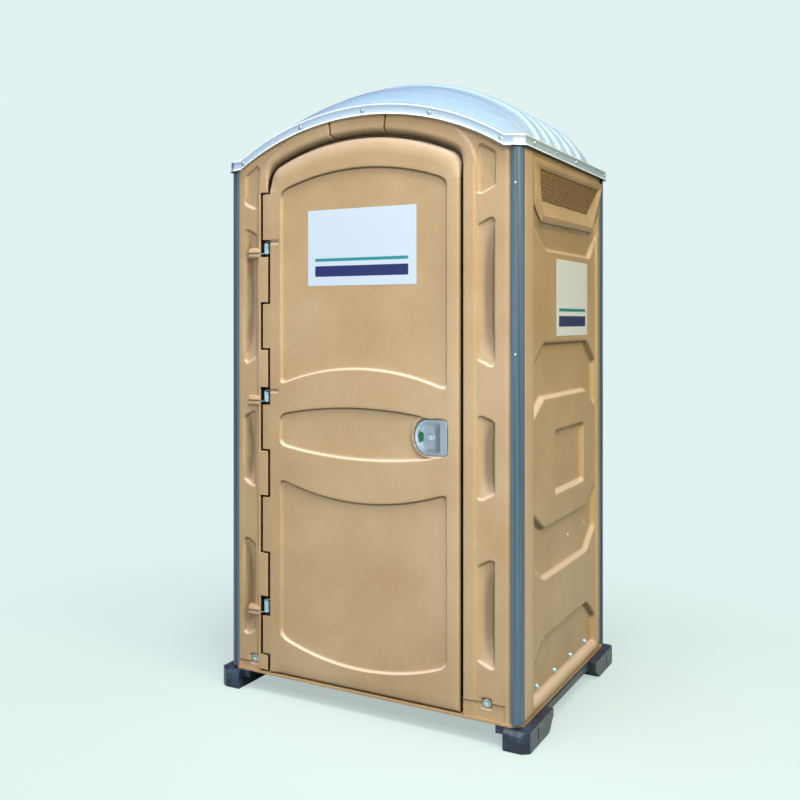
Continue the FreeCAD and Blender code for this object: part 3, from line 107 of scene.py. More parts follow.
@dataclass
class Pattern:
    """A material's node tree while its finish draws on it."""

    tree: Tree
    shader: Node
    place: Socket

    def feed(self, name: str, value: Socket) -> None:
        """Let a value drive one of the shader's inputs."""
        self.tree.links.new(value, self.shader.inputs[name])

    def noise(self, scale: float, detail: float, at: Optional[Socket] = None, **inputs: float) -> Socket:
        """Noise, so many waves to a metre."""
        inputs = {"Vector": self.place if at is None else at, "Scale": scale, "Detail": detail, **inputs}
        return add(self.tree, "ShaderNodeTexNoise", inputs).outputs["Fac"]

    def drawn(self, **inputs: tuple) -> Socket:
        """Object coordinates, stretched by Scale or turned by Rotation."""
        return add(self.tree, "ShaderNodeMapping", {"Vector": self.place, **inputs}).outputs[0]

    def cells(self, scale: float) -> bpy.types.bpy_prop_collection:
        """Cells, so many to a metre: their outputs."""
        return add(self.tree, "ShaderNodeTexVoronoi", {"Vector": self.place, "Scale": scale}).outputs

    def layer(self, name: str) -> Socket:
        """A value that the mesh carries at its points."""
        return add(self.tree, "ShaderNodeAttribute", attribute_name=name).outputs["Fac"]

    def axis(self, vector: Socket, name: str) -> Socket:
        """One part of a vector."""
        return add(self.tree, "ShaderNodeSeparateXYZ", {"Vector": vector}).outputs[name]

    def spread(self, value: Socket, start: tuple, end: tuple = (0.0, 1.0), **settings: str) -> Socket:
        """Carry the range start over to the range end, cut off beyond it."""
        ends = {"From Min": start[0], "From Max": start[1], "To Min": end[0], "To Max": end[1]}
        return add(self.tree, "ShaderNodeMapRange", {"Value": value, **ends}, **settings).outputs[0]

    def maths(self, operation: str, first: Socket, second: Socket | float) -> Socket:
        """One sum of two values."""
        return add(self.tree, "ShaderNodeMath", {0: first, 1: second}, operation=operation).outputs[0]

    def blend(self, share: Socket | float, first: Socket | tuple, second: Socket | tuple, **settings: str) -> Socket:
        """Mix two colours."""
        return add(self.tree, "ShaderNodeMix", {0: share, 6: first, 7: second}, data_type="RGBA", **settings).outputs[2]

    def ramp(self, value: Socket, *stops: tuple[float, str]) -> Socket:
        """Colours by value, from one stop to the next."""
        return add(self.tree, "ShaderNodeValToRGB", {"Fac": value}, stops).outputs[0]


@dataclass(frozen=True)
class Finish:
    """What every finish has: a name, a colour, a gloss and the record's material slot."""

    name: str
    colour: str
    roughness: float = 0.5
    metallic: float = 0.0
    soften: float = 0.0
    slot: str = ""

    def material(self) -> bpy.types.Material:
        """Make the material, or give the one that is already made."""
        made = bpy.data.materials.get(self.name)
        if made:
            return made
        made = bpy.data.materials.new(self.name)
        made.use_nodes = True
        tree = made.node_tree
        tree.nodes.clear()
        shader = add(tree, "ShaderNodeBsdfPrincipled", {"Base Color": linear(self.colour), "Roughness": self.roughness,
                                                        "Metallic": self.metallic})
        self.dress(Pattern(tree, shader, add(tree, "ShaderNodeTexCoord").outputs["Object"]))
        add(tree, "ShaderNodeOutputMaterial", {"Surface": shader.outputs[0]})
        return made

    def dress(self, to: Pattern) -> None:
        """Add the pattern of this finish. The plain one has fine noise in its gloss."""
        noise = to.noise(160.0, 4.0)
        to.feed("Roughness", to.spread(noise, (0.0, 1.0), (self.roughness - 0.08, self.roughness + 0.1)))
        self.bump(to, (noise, 0.0002))

    def bump(self, to: Pattern, *layers: tuple[Socket, float]) -> None:
        """Chain bump layers, each a height and its depth in metres, from an edge softener if the finish has one."""
        normal = {}
        if self.soften:
            normal = {"Normal": add(to.tree, "ShaderNodeBevel", {"Radius": self.soften}, samples=6).outputs["Normal"]}
        for height, depth in layers:
            inputs = {"Height": height, "Strength": 1.0, "Distance": depth, **normal}
            normal = {"Normal": add(to.tree, "ShaderNodeBump", inputs).outputs["Normal"]}
        to.feed("Normal", normal["Normal"])


@dataclass(frozen=True)
class MouldedShell(Finish):
    """Rotomoulded polyethylene: an even colour, faint clouds, a fine pebble grain and drying water beads, with painted
    highlights on ledges and painted shade.
    """

    cloud: str = "#a68860"
    dust: str = "#8d7454"
    # The next two colours are painted light: the first darkens overhangs, gaps and recesses as shade, the second pales
    # ledges and edges as a highlight.
    painted_shade_colour: str = "#1a0f03"
    pale: str = "#dcc8b8"
    bead: str = "#e6dac6"
    bead_cell: float = 24.0
    bead_share: float = 0.2

    def dress(self, to: Pattern) -> None:
        """Clouds 300 mm wide, grain of 2 mm, beads of about 3 mm in cells of bead_cell millimetres."""
        broad, speckle = to.noise(3.2, 5.0, Roughness=0.6), to.noise(420.0, 3.0)
        body = to.blend(to.spread(broad, (0.35, 0.7), (0.0, 0.6)), linear(self.colour), linear(self.cloud))
        flecked = to.blend(1.0, body, to.spread(speckle, (0.3, 0.75), (0.93, 1.07)), blend_type="MULTIPLY")
        low = to.spread(to.axis(to.place, "Z"), (0.42, 0.07), (0.0, 0.35))
        dusted = to.blend(to.maths("MULTIPLY", low, broad), flecked, linear(self.dust))
        cells = to.cells(1000.0 / self.bead_cell)
        wide = to.spread(to.axis(cells["Color"], "X"), (1.0 - self.bead_share, 1.0), (0.0, 0.09))
        bead = to.spread(to.maths("SUBTRACT", wide, cells["Distance"]), (0.0, 0.03))
        beaded = to.blend(bead, dusted, linear(self.bead))
        # Ledges are painted pale as a highlight, and overhangs, gaps and recesses dark as shade, by layers on the
        # mesh's points.
        paled = to.blend(to.layer("painted_highlight"), beaded, linear(self.pale))
        to.feed("Base Color", to.blend(to.layer("painted_shade"), paled, linear(self.painted_shade_colour)))
        gloss = to.spread(speckle, (0.0, 1.0), (self.roughness - 0.1, self.roughness + 0.12))
        to.feed("Roughness", add(to.tree, "ShaderNodeMix", {0: bead, 2: gloss, 3: 0.15}, data_type="FLOAT").outputs[0])
        self.bump(to, (to.noise(45.0, 2.0), 0.0006), (speckle, 0.00035), (bead, 0.0008))


@dataclass(frozen=True)
class RoofSheet(Finish):
    """Formed translucent sheet: pale and glossy with soft streaks, painted darker as shade where it lies flat, with
    painted white highlights at its edges.
    """

    streak: str = "#a9c4e2"
    # Painted light: the next colour is shade painted where the sheet lies flat, and the last is a white highlight
    # painted at its edges.
    shaded: str = "#6d8aab"
    flange: str = "#a3bad1"
    edge: str = "#e6f2fb"

    def dress(self, to: Pattern) -> None:
        """Streaks about 60 mm wide and 400 mm long, and a slight waviness of the sheet."""
        streaks = to.noise(1.6, 4.0, to.drawn(Scale=(2.2, 9.0, 4.0)), Roughness=0.55, Distortion=0.6)
        colour = to.ramp(streaks, (0.36, self.streak), (0.62, self.colour))
        # Painted shade where the sheet lies flat; the border layer gives the flange its own tone halfway and a painted
        # white highlight at full.
        lying = to.axis(add(to.tree, "ShaderNodeNewGeometry").outputs["Normal"], "Z")
        flat_shaded = to.blend(to.spread(lying, (0.3, 0.95), (0.0, 0.85)), colour, linear(self.shaded))
        rim = to.layer("painted_highlight")
        cooled = to.blend(to.spread(rim, (0.0, 0.5)), flat_shaded, linear(self.flange))
        to.feed("Base Color", to.blend(to.spread(rim, (0.5, 1.0)), cooled, linear(self.edge)))
        self.bump(to, (to.noise(14.0, 2.0), 0.002), (to.noise(300.0, 2.0), 0.0001))


@dataclass(frozen=True)
class DrawnProfile(Finish):
    """Extruded section: fine lines along its length, a few pale nicks."""

    line: str = "#3a4c60"
    nick: str = "#9fb0c0"

    def dress(self, to: Pattern) -> None:
        """Lines 3 mm apart across and a metre long, drawn coarser than the real ones so that they show."""
        lines = to.noise(1.0, 2.0, to.drawn(Scale=(260.0, 260.0, 1.2)))
        colour = to.ramp(lines, (0.3, self.line), (0.62, self.colour))
        dots = to.maths("LESS_THAN", to.cells(14.0)["Distance"], 0.018)
        to.feed("Base Color", to.blend(dots, colour, linear(self.nick)))
        self.bump(to, (lines, 0.0002))


@dataclass(frozen=True)
class ScuffedBlock(Finish):
    """Recycled polymer block: near black, with paler scuffs and a dull open grain."""

    scuff: str = "#3d5673"

    def dress(self, to: Pattern) -> None:
        """Scuffs 30 mm long over a grain of 4 mm."""
        rubbing_and_highlight = to.noise(26.0, 6.0, Roughness=0.7)
        to.feed("Base Color", to.ramp(rubbing_and_highlight, (0.46, self.colour), (0.78, self.scuff)))
        self.bump(to, (rubbing_and_highlight, 0.0012), (to.noise(240.0, 3.0), 0.0004))


@dataclass(frozen=True)
class WovenMesh(Finish):
    """Insect mesh: crossed strands, drawn 9 mm apart so that they show, with the gaps painted dark as the shade seen
    through them.
    """

    gap: str = "#4a3a24"

    def dress(self, to: Pattern) -> None:
        """Two sets of bands cross at a slant, and the gaps between them are painted dark as shade and lie deep."""
        bands = []
        for turn in (0.62, -0.5):
            inputs = {"Vector": to.drawn(Rotation=(turn, 0.0, 0.0)), "Scale": 22.0, "Distortion": 1.6, "Detail": 2.0,
                      "Detail Scale": 3.0}
            bands.append(add(to.tree, "ShaderNodeTexWave", inputs, bands_direction="Y").outputs["Fac"])
        strands = to.maths("MULTIPLY", *bands)
        to.feed("Base Color", to.ramp(strands, (0.05, self.gap), (0.45, self.colour)))
        self.bump(to, (strands, 0.003))


@dataclass(frozen=True)
class BrushedMetal(Finish):
    """Zinc-plated or cast metal: fine lines, spots of dulled plating."""

    stretch: tuple[float, float, float] = (60.0, 60.0, 900.0)

    def dress(self, to: Pattern) -> None:
        """Lines about a millimetre apart and dull patches of 15 mm."""
        lines = to.noise(1.0, 3.0, to.drawn(Scale=self.stretch))
        to.feed("Roughness", to.spread(to.noise(70.0, 4.0), (0.0, 1.0), (self.roughness - 0.1, self.roughness + 0.15)))
        self.bump(to, (lines, 0.00015))


SHELL = MouldedShell("rotomoulded polyethylene, tan", "#bfa684", 0.42, slot="shell_tan")
SHELL_INSIDE = MouldedShell("rotomoulded polyethylene, tan, plain nodes", "#c2a077", 0.5, soften=0.003,
                            bead_share=0.001)
FITTING = MouldedShell("moulded polyethylene, grey", "#8d9296", 0.5, soften=0.003, cloud="#83888c", bead_share=0.001)
ROOF = RoofSheet("formed roof sheet, pale", "#bed9f4", 0.24, slot="roof_white")
POST = DrawnProfile("extruded corner section, slate", "#58728a", 0.4, soften=0.001, slot="post_grey")
SKID = ScuffedBlock("recycled polymer, black", "#131f33", 0.36, slot="skid_black")
MESH = WovenMesh("woven insect mesh, brown", "#a9885a", 0.7, slot="screen_brown")
CASTING = BrushedMetal("satin zinc casting", "#8f9dab", 0.42, 0.85, slot="latch_metal")
STEEL = BrushedMetal("bright zinc-plated steel", "#bcd3de", 0.28, 1.0, slot="bright_steel")
WIRE = BrushedMetal("zinc-plated spring wire", "#8e9aa5", 0.4, 0.5, slot="bright_steel")
# A paler, less metallic copy of the spring wire, painted as a highlight on the coils; their legs use the plain wire.
COIL_HIGHLIGHT = BrushedMetal("zinc-plated spring wire, painted highlight", "#b4dcec", 0.4, 0.25, slot="bright_steel")
OILED = Finish("blackened steel", "#121315", 0.6)
SEAT = Finish("moulded polypropylene, black", "#1b1b1d", 0.35, soften=0.002)
GREEN = Finish("printed green film", "#055e3e", 0.5, slot="indicator_green")
RED = Finish("printed red film", "#a82222", 0.3, slot="indicator_green")
VINYL = Finish("printed vinyl film, white", "#c9dbee", 0.3, slot="shell_tan")
VINYL_PALE = Finish("printed vinyl film, pale", "#e6f1ff", 0.3, slot="shell_tan")
INK_TEAL = Finish("printed vinyl film, teal", "#2a8f9c", 0.32, slot="shell_tan")
INK_NAVY = Finish("printed vinyl film, navy", "#2a3169", 0.32, slot="shell_tan")


# ---------------------------------------------------------------- surfaces
def eased(share: np.ndarray, soft: float = 0.35) -> np.ndarray:
    """A ramp from 0 to 1: a straight flank that leaves and arrives on parabolas, each over a share soft of it."""
    t = np.clip(share, 0.0, 1.0)
    bend = 2 * soft * (1 - soft)
    flank = np.where(t > 1 - soft, 1 - (1 - t) ** 2 / bend, (t - soft / 2) / (1 - soft))
    return np.where(t < soft, t * t / bend, flank)


def arc(place: np.ndarray, middle: float, half: float, side: float, crest: float) -> np.ndarray:
    """Height of a circular arc: side at middle plus or minus half, crest at the middle, level beyond."""
    rise = crest - side
    if abs(rise) < 1e-6:
        return np.full_like(np.asarray(place, float), side)
    radius = (half * half + rise * rise) / (2 * abs(rise))
    off = np.clip(np.abs(np.asarray(place, float) - middle), 0, half)
    drop = radius - np.sqrt(radius * radius - off * off)
    return crest - math.copysign(1.0, rise) * drop


def lines(stops: Sequence[float], pitch: float) -> np.ndarray:
    """Sorted stops with even steps between them, no longer than the pitch."""
    marks = np.unique(np.round(np.asarray(stops, float), 3))
    parts = [np.linspace(a, b, max(1, math.ceil((b - a) / pitch)), endpoint=False) for a, b in zip(marks, marks[1:])]
    return np.concatenate(parts + [marks[-1:]])


def near(mark: float, offsets: Sequence[float]) -> list[float]:
    """Stops at a mark and at offsets from it."""
    return [mark + offset for offset in offsets]


def rows_between(curves: Sequence[np.ndarray], pitch: float) -> np.ndarray:
    """A grid of heights: rows from each curve to the next, from the foot up, no further apart than the pitch."""
    stacked = np.maximum.accumulate(np.vstack(curves), axis=0)
    rows = []
    for low, high in zip(stacked, stacked[1:]):
        count = max(1, math.ceil(float((high - low).max()) / pitch))
        share = np.linspace(0.0, 1.0, count, endpoint=False)[:, None]
        rows.append(low + (high - low) * share)
    return np.vstack(rows + [stacked[-1:]])


@dataclass(frozen=True)
class Outline:
    """A closed outline on a wall in millimetres, with its corners rounded."""

    points: tuple[tuple[float, float], ...]
    round: float = 0.0

    @classmethod
    def box(cls, left: float, right: float, low: float, high: float, corner: float = 0.0) -> "Outline":
        """A rectangle."""
        return cls(((left, low), (right, low), (right, high), (left, high)), corner)

    def path(self) -> np.ndarray:
        """The corners, each rounded by a parabola that is tangent to its two sides."""
        corners = np.array(self.points, float)
        if not self.round:
            return corners
        before, after = np.roll(corners, 1, axis=0) - corners, np.roll(corners, -1, axis=0) - corners
        long_before = np.linalg.norm(before, axis=1, keepdims=True)
        long_after = np.linalg.norm(after, axis=1, keepdims=True)
        start = corners + before / long_before * np.minimum(self.round, 0.45 * long_before)
        end = corners + after / long_after * np.minimum(self.round, 0.45 * long_after)
        t = np.linspace(0, 1, 7)[None, :, None]
        bends = (1 - t) ** 2 * start[:, None] + 2 * t * (1 - t) * corners[:, None] + t ** 2 * end[:, None]
        return bends.reshape(-1, 2)

    def distance(self, across: np.ndarray, up: np.ndarray) -> tuple[np.ndarray, np.ndarray]:
        """Signed distance to the outline, negative inside, and how much the way out of it leads up."""
        a = self.path()
        b = np.roll(a, -1, axis=0)
        keep = np.linalg.norm(b - a, axis=1) > 1e-6
        a, b = a[keep], b[keep]
        side = b - a
        place = np.stack([across.ravel(), up.ravel()], axis=1)
        signed, facing = np.empty(len(place)), np.empty(len(place))
        for first in range(0, len(place), BATCH):
            some = slice(first, first + BATCH)
            p = place[some, None, :]
            share = np.clip(((p - a) * side).sum(-1) / (side ** 2).sum(-1), 0, 1)
            away = p - (a + side * share[..., None])
            far = np.linalg.norm(away, axis=-1)
            best = far.argmin(axis=1)
            pick = np.arange(len(best))
            meets = side[:, 0] * (p[..., 1] - a[:, 1]) / np.where(side[:, 1] == 0, 1e-9, side[:, 1]) + a[:, 0]
            crosses = ((a[:, 1] > p[..., 1]) != (b[:, 1] > p[..., 1])) & (p[..., 0] < meets)
            sign = np.where(crosses.sum(axis=1) % 2 == 1, -1.0, 1.0)
            signed[some] = sign * far[pick, best]
            facing[some] = sign * away[pick, best, 1] / np.maximum(far[pick, best], 1e-6)
        return signed.reshape(across.shape), facing.reshape(across.shape)


@dataclass(frozen=True)
class Relief:
    """A recess, or a raised field when its depth is negative, with flanks of its own width all round."""

    outline: Outline
    depth: float
    flank: float = 10.0
    sill: Optional[float] = None
    head: Optional[float] = None
    soft: float = 0.35
    scoop: Optional[Callable[[np.ndarray, np.ndarray], np.ndarray]] = None

    def sink(self, across: np.ndarray, up: np.ndarray) -> np.ndarray:
        """Depth at each place: an eased ramp over the flank's width, wider at the sill, narrower at the head."""
        far, facing = self.outline.distance(across, up)
        sill = self.flank if self.sill is None else self.sill
        head = self.flank if self.head is None else self.head
        width = self.flank + np.clip(-facing, 0, 1) ** 2 * (sill - self.flank)
        width = width + np.clip(facing, 0, 1) ** 2 * (head - self.flank)
        ramp = eased(-far / width, self.soft)
        return self.depth * ramp * (self.scoop(across, up) if self.scoop else 1.0)


class Wall(Enum):
    """The four upright faces of the cabin."""

    FRONT = "front"
    RIGHT = "right"
    BACK = "back"
    LEFT = "left"

    def place(self, across: np.ndarray, out: np.ndarray, up: np.ndarray) -> np.ndarray:
        """Points of the row frame from a place across the wall, a distance out from the middle, and a height."""
        x, y = {Wall.FRONT: (across, -out), Wall.RIGHT: (out, across), Wall.BACK: (-across, out),
                Wall.LEFT: (-out, -across)}[self]
        return np.stack([x, y, up + 0.0 * across], axis=-1)


def put(name: str, data: bpy.types.ID) -> Piece:
    """Put a new object with this data into the scene."""
    made = bpy.data.objects.new(name, data)
    bpy.context.scene.collection.objects.link(made)
    return made


def smoothed(mesh: bpy.types.Mesh, angle: float) -> None:
    """Shade a mesh smooth, but for edges sharper than so many degrees."""
    mesh.shade_smooth()
    mesh.set_sharp_from_angle(angle=math.radians(angle))


def write_layer(mesh: bpy.types.Mesh, layer: str, values: np.ndarray) -> None:
    """Give each point of a mesh a value that its finish reads."""
    mesh.attributes.new(layer, "FLOAT", "POINT").data.foreach_set("value", np.asarray(values, np.float32).ravel())


def new_piece(name: str, points: np.ndarray, faces: Sequence, finish: Finish, body: str, smooth: float = 40.0,
              stands_for: Sequence[str] = (), painted_shade: Optional[np.ndarray] = None,
              painted_highlight: Optional[np.ndarray] = None) -> Piece:
    """Make one piece: its mesh in millimetres, its finish, and the body that carries it.

    Args:
        name: The piece's name.
        points: Places, in millimetres.
        faces: Corner numbers of each face, an array or a list of them.
        finish: What it is made of.
        body: The body that it rides on.
        smooth: Edges sharper than this many degrees stay sharp.
        stands_for: The nodes whose looks it takes over.
        painted_shade: How dark each point is painted as shade, 0 to 1.
        painted_highlight: How far each point is painted towards its finish's pale highlight, 0 to 1.

    Returns:
        The new object.
    """
    mesh = bpy.data.meshes.new(name)
    mesh.from_pydata((np.asarray(points).reshape(-1, 3) * MM).tolist(), [], [list(map(int, f)) for f in faces])
    mesh.validate()
    mesh.update()
    for layer, values in (("painted_shade", painted_shade), ("painted_highlight", painted_highlight)):
        if values is not None:
            write_layer(mesh, layer, values)
    piece = put(name, mesh)
    mesh.materials.append(finish.material())
    smoothed(mesh, smooth)
    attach(piece, body)
    if stands_for:
        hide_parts(*stands_for)
    LOG.info("%s: %d points", name, len(mesh.vertices))
    return piece


def thicken(piece: Piece, skin: float) -> None:
    """Give a formed sheet its thickness, inwards, in millimetres."""
    wall = piece.modifiers.new("skin", "SOLIDIFY")
    wall.thickness = skin * MM
    wall.offset = -1.0
    wall.use_even_offset = False
    wall.use_quality_normals = True


def bevel(piece: Piece, width: float, steps: int = 3, angle: float = 35.0) -> None:
    """Round the sharp edges of a piece, in millimetres."""
    edge = piece.modifiers.new("edges", "BEVEL")
    edge.width = width * MM
    edge.segments = steps
    edge.limit_method = "ANGLE"
    edge.angle_limit = math.radians(angle)
    edge.harden_normals = False


def sheet_faces(shape: tuple[int, int], keep: Optional[np.ndarray] = None) -> np.ndarray:
    """Corner numbers of the quads of a grid, without those that keep leaves out."""
    rows, columns = shape
    index = np.arange(rows * columns).reshape(rows, columns)
    quads = np.stack([index[:-1, :-1], index[:-1, 1:], index[1:, 1:], index[1:, :-1]], axis=-1).reshape(-1, 4)
    return quads if keep is None else quads[keep.ravel()]


def ring_faces(rows: int, columns: int) -> np.ndarray:
    """Corner numbers of the quads between closed rings of points."""
    index = np.arange(rows * columns).reshape(rows, columns)
    after = np.roll(index, -1, axis=1)
    return np.stack([index[:-1], after[:-1], after[1:], index[1:]], axis=-1).reshape(-1, 4)


def border_edges(quads: np.ndarray) -> np.ndarray:
    """Directed edges that only one quad has, in the quad's own direction."""
    edges = np.concatenate([quads[:, [0, 1]], quads[:, [1, 2]], quads[:, [2, 3]], quads[:, [3, 0]]])
    ordered = np.sort(edges, axis=1)
    keys = ordered[:, 0].astype(np.int64) * (int(quads.max()) + 1) + ordered[:, 1]
    found, counts = np.unique(keys, return_counts=True)
    return edges[np.isin(keys, found[counts == 1])]


def formed_sheet(name: str, wall: Wall, plane: float, across: np.ndarray, up: np.ndarray, sink: np.ndarray,
                 edge_depth: float, finish: Finish, body: str, keep: Optional[np.ndarray] = None,
                 skin: float = 4.0, rim_shade: float = 0.0, face_shade: Optional[np.ndarray] = None,
                 rubbing_and_highlight: Optional[np.ndarray] = None, **links: object) -> Piece:
    """A formed sheet on one wall: a grid pushed in by sink, with its borders turned back to edge_depth.

    Args:
        name: The piece's name.
        wall: The wall that it is on.
        plane: Distance of its outer face from the cabin's middle.
        across: Places across, a grid.
        up: Places up, a grid.
        sink: How far each place lies behind the plane.
        edge_depth: How far back the border reaches, at each place.
        finish: What it is made of.
        body: The body that it rides on.
        keep: Which cells of the grid are there.
        skin: The sheet's thickness.
        rim_shade: How dark the turned border is painted as shade, from a few millimetres in.
        face_shade: Painted shade on the face besides that under overhangs, 0 to 1, a grid.
        rubbing_and_highlight: Painted highlight on the face besides that of its ledges, 0 to 1, a grid.
        links: What new_piece takes besides.

    Returns:
        The new object.
    """
    face = wall.place(across, plane - sink, up).reshape(-1, 3)
    lip = wall.place(across, plane - np.minimum(sink + 3.0, edge_depth - 1.0), up).reshape(-1, 3)
    back = wall.place(across, plane - np.full(across.shape, edge_depth), up).reshape(-1, 3)
    quads = sheet_faces(across.shape, keep)
    edges = border_edges(quads)
    used, slot_of = np.unique(edges, return_inverse=True)
    near_ring = slot_of.reshape(edges.shape) + len(face)
    far_ring = near_ring + len(used)
    rim = np.concatenate([np.stack([a[:, 0], b[:, 0], b[:, 1], a[:, 1]], axis=1)
                          for a, b in ((edges, near_ring), (near_ring, far_ring))])
    points = np.concatenate([face, lip[used], back[used]])
    # Painted light from the face's slope: shade where it turns down under an overhang, a highlight where it turns up
    # into a ledge.
    slope = np.gradient(sink, axis=0) / np.maximum(np.gradient(up, axis=0), 0.2)
    shaded = PAINTED_SHADE_SHARE * np.maximum(np.clip(-slope, 0, 1), 0.0 if face_shade is None else face_shade).ravel()
    painted_shade = np.concatenate([shaded, np.full(2 * len(used), rim_shade)])
    ledge = HIGHLIGHT_SHARE * np.maximum(np.clip(HIGHLIGHT_GAIN * slope, 0, 1), 0.0 if rubbing_and_highlight is None else rubbing_and_highlight).ravel()
    painted_highlight = np.concatenate([ledge, np.zeros(2 * len(used))])
    piece = new_piece(name, points, np.concatenate([quads, rim]), finish, body, painted_shade=painted_shade, painted_highlight=painted_highlight, **links)
    drop_loose(piece)
    thicken(piece, skin)
    return piece


def drop_loose(piece: Piece) -> None:
    """Take away the points that no face uses."""
    mesh = piece.data
    corner = np.empty(len(mesh.loops), np.int64)
    mesh.loops.foreach_get("vertex_index", corner)
    used = np.unique(corner)
    if len(used) == len(mesh.vertices):
        return
    places = np.empty(len(mesh.vertices) * 3)
    mesh.vertices.foreach_get("co", places)
    order = np.full(len(mesh.vertices), -1)
    order[used] = np.arange(len(used))
    ends = np.empty(len(mesh.polygons), np.int64)
    mesh.polygons.foreach_get("loop_start", ends)
    faces = np.split(order[corner], ends[1:])
    fresh = bpy.data.meshes.new(mesh.name)
    fresh.from_pydata(places.reshape(-1, 3)[used].tolist(), [], [f.tolist() for f in faces])
    for material in mesh.materials:
        fresh.materials.append(material)
    # Carry over each point's painted shade and painted highlight.
    for layer in ("painted_shade", "painted_highlight"):
        values = np.empty(len(mesh.vertices), np.float32)
        mesh.attributes[layer].data.foreach_get("value", values)
        write_layer(fresh, layer, values[used])
    smoothed(fresh, 50)
    piece.data = fresh


def rolled(depth_in: np.ndarray, radius: np.ndarray | float) -> np.ndarray:
    """How far a rounded border falls back: a quarter circle over its radius from the edge."""
    r = np.broadcast_to(radius, depth_in.shape)
    short = np.clip(r - depth_in, 0, r)
    return r - np.sqrt(np.maximum(r * r - short * short, 0))


def prism(plan: Sequence[tuple[float, float]], low: float, high: float, to_space: Callable) -> tuple[np.ndarray, list]:
    """Points and faces of a straight solid: an outline, counter-clockwise seen from its high end, carried from low
    to high. The function to_space turns (a, b, along) arrays into points."""
    flat = np.array(plan, float)
    count = len(flat)
    points = np.concatenate([to_space(*flat.T, np.full(count, end)) for end in (low, high)])
    ends = [list(range(count))[::-1], list(range(count, 2 * count))]
    return points, ring_faces(2, count).tolist() + ends


def upright(a: np.ndarray, b: np.ndarray, along: np.ndarray) -> np.ndarray:
    """Plan outline carried up: a is X, b is Y, along is Z."""
    return np.stack([a, b, along], axis=-1)


def facing_front(a: np.ndarray, b: np.ndarray, along: np.ndarray) -> np.ndarray:
    """Outline seen from the front carried forward: a is X, b is Z, along is how far in front."""
    return np.stack([a, -along, b], axis=-1)


def revolve(profile: Sequence[tuple[float, float]], centre: Sequence[float], axis: Sequence[float],
            steps: int = 24) -> tuple[np.ndarray, np.ndarray]:
    """Points and quads of a profile of (radius, along) turned about the axis that starts at centre."""
    way = np.array(axis, float) / np.linalg.norm(axis)
    side = np.cross(way, [0.0, 0.0, 1.0] if abs(way[2]) < 0.9 else [1.0, 0.0, 0.0])
    side /= np.linalg.norm(side)
    other = np.cross(way, side)
    angle = np.linspace(0, 2 * math.pi, steps, endpoint=False)
    radius, along = np.array(profile, float).T
    ring = side[None] * np.cos(angle)[:, None] + other[None] * np.sin(angle)[:, None]
    points = np.array(centre, float) + way * along[:, None, None] + ring[None] * radius[:, None, None]
    return points.reshape(-1, 3), ring_faces(len(radius), steps)


def tube(path: np.ndarray, radius: float, sides: int = 10) -> tuple[np.ndarray, list]:
    """Points and faces of a circle carried along a path, its rings square to the path, with both ends closed."""
    way = np.gradient(path, axis=0)
    way /= np.linalg.norm(way, axis=1, keepdims=True)
    up = np.array([0.0, 0.0, 1.0])
    side = np.cross(way, up)
    side /= np.maximum(np.linalg.norm(side, axis=1, keepdims=True), 1e-9)
    other = np.cross(side, way)
    angle = np.linspace(0, 2 * math.pi, sides, endpoint=False)
    ring = side[:, None] * np.cos(angle)[None, :, None] + other[:, None] * np.sin(angle)[None, :, None]
    points = path[:, None] + radius * ring
    ends = [list(range(sides)), list(range(len(path) * sides - 1, (len(path) - 1) * sides - 1, -1))]
    return points.reshape(-1, 3), ring_faces(len(path), sides)[:, ::-1].tolist() + ends


def joined(parts: Sequence[tuple[np.ndarray, Sequence]]) -> tuple[np.ndarray, list]:
    """Several sets of points and faces as one."""
    points, faces, first = [], [], 0
    for some_points, some_faces in parts:
        points.append(np.asarray(some_points).reshape(-1, 3))
        faces += [[int(corner) + first for corner in face] for face in some_faces]
        first += len(points[-1])
    return np.concatenate(points), faces


# ---------------------------------------------------------------- sizes that several pieces share, in millimetres
HALF_WIDTH, HALF_DEPTH = 555.0, 565.0  # planes of the side walls, and of the door and the back wall
STILE_PLANE = 560.0  # plane of the front frame's face
FRAME_EDGE = 519.5  # half width of the front frame's right side and of the back panel
WALL_EDGE = 529.5  # half width of a side panel
WALL_FOOT = 80.3  # foot of every wall
WALL_TOP = 2010.2  # head of the side walls, where the arches start
ARCH_HALF, ARCH_CREST = 500.0, 2162.2  # half span and crest of the front's and the back's arch
OPENING_GROW = 11.7  # how far the opening's head stays off the door's
DOOR_LEFT, DOOR_RIGHT = -380.0, 348.7
OPENING_LEFT, OPENING_RIGHT = -421.0, 360.4
CORNER_LEFT, CORNER_FOOT = -390.0, 1883.0  # above this foot the opening's left side is nearer the door
DOOR_KNUCKLES = ((1702, 1880), (1295, 1468), (915, 1088), (530, 741), (146, 293))
FRAME_KNUCKLES = ((1468, 1645), (1148, 1295), (741, 915), (361, 530), (84, 146))
HINGE_X, HINGE_Y = -398.0, -550.0  # axis of the hinge
SPRING_WINDOWS = ((1645.0, 1702.0), (1088.0, 1148.0), (293.0, 361.0))  # gaps between knuckles, with a spring each
PIVOT = (248.0, 1003.0)  # axis of the latch
LEVER_TIP = 901.0  # height of the notches that the latch lever's tip turns through


def door_top(across: np.ndarray, grow: float, left: float) -> np.ndarray:
    """Top edge of the door, or of its opening, larger by grow, from left on: an arch with turned-down ends."""
    middle = (DOOR_LEFT + DOOR_RIGHT) / 2
    half = (DOOR_RIGHT - DOOR_LEFT) / 2 - 24
    low, crest = 1975 + grow, 2055 + grow
    radius = (half * half + 80.0 * 80.0) / 160.0
    top = crest - radius + np.sqrt(radius ** 2 - np.clip(across - middle, -half - 60, half + 60) ** 2)
    turn = 58 + grow
    for away in (across - left, DOOR_RIGHT + grow - across):
        inwards = np.clip(away, 0, 0.56 * turn)
        corner = low - 49 + np.sqrt(turn ** 2 - (turn - inwards) ** 2) - grow
        top = np.minimum(top, corner + 0.5 * np.clip(away - 0.56 * turn, 0, None))
    return np.clip(top, 1900, None)


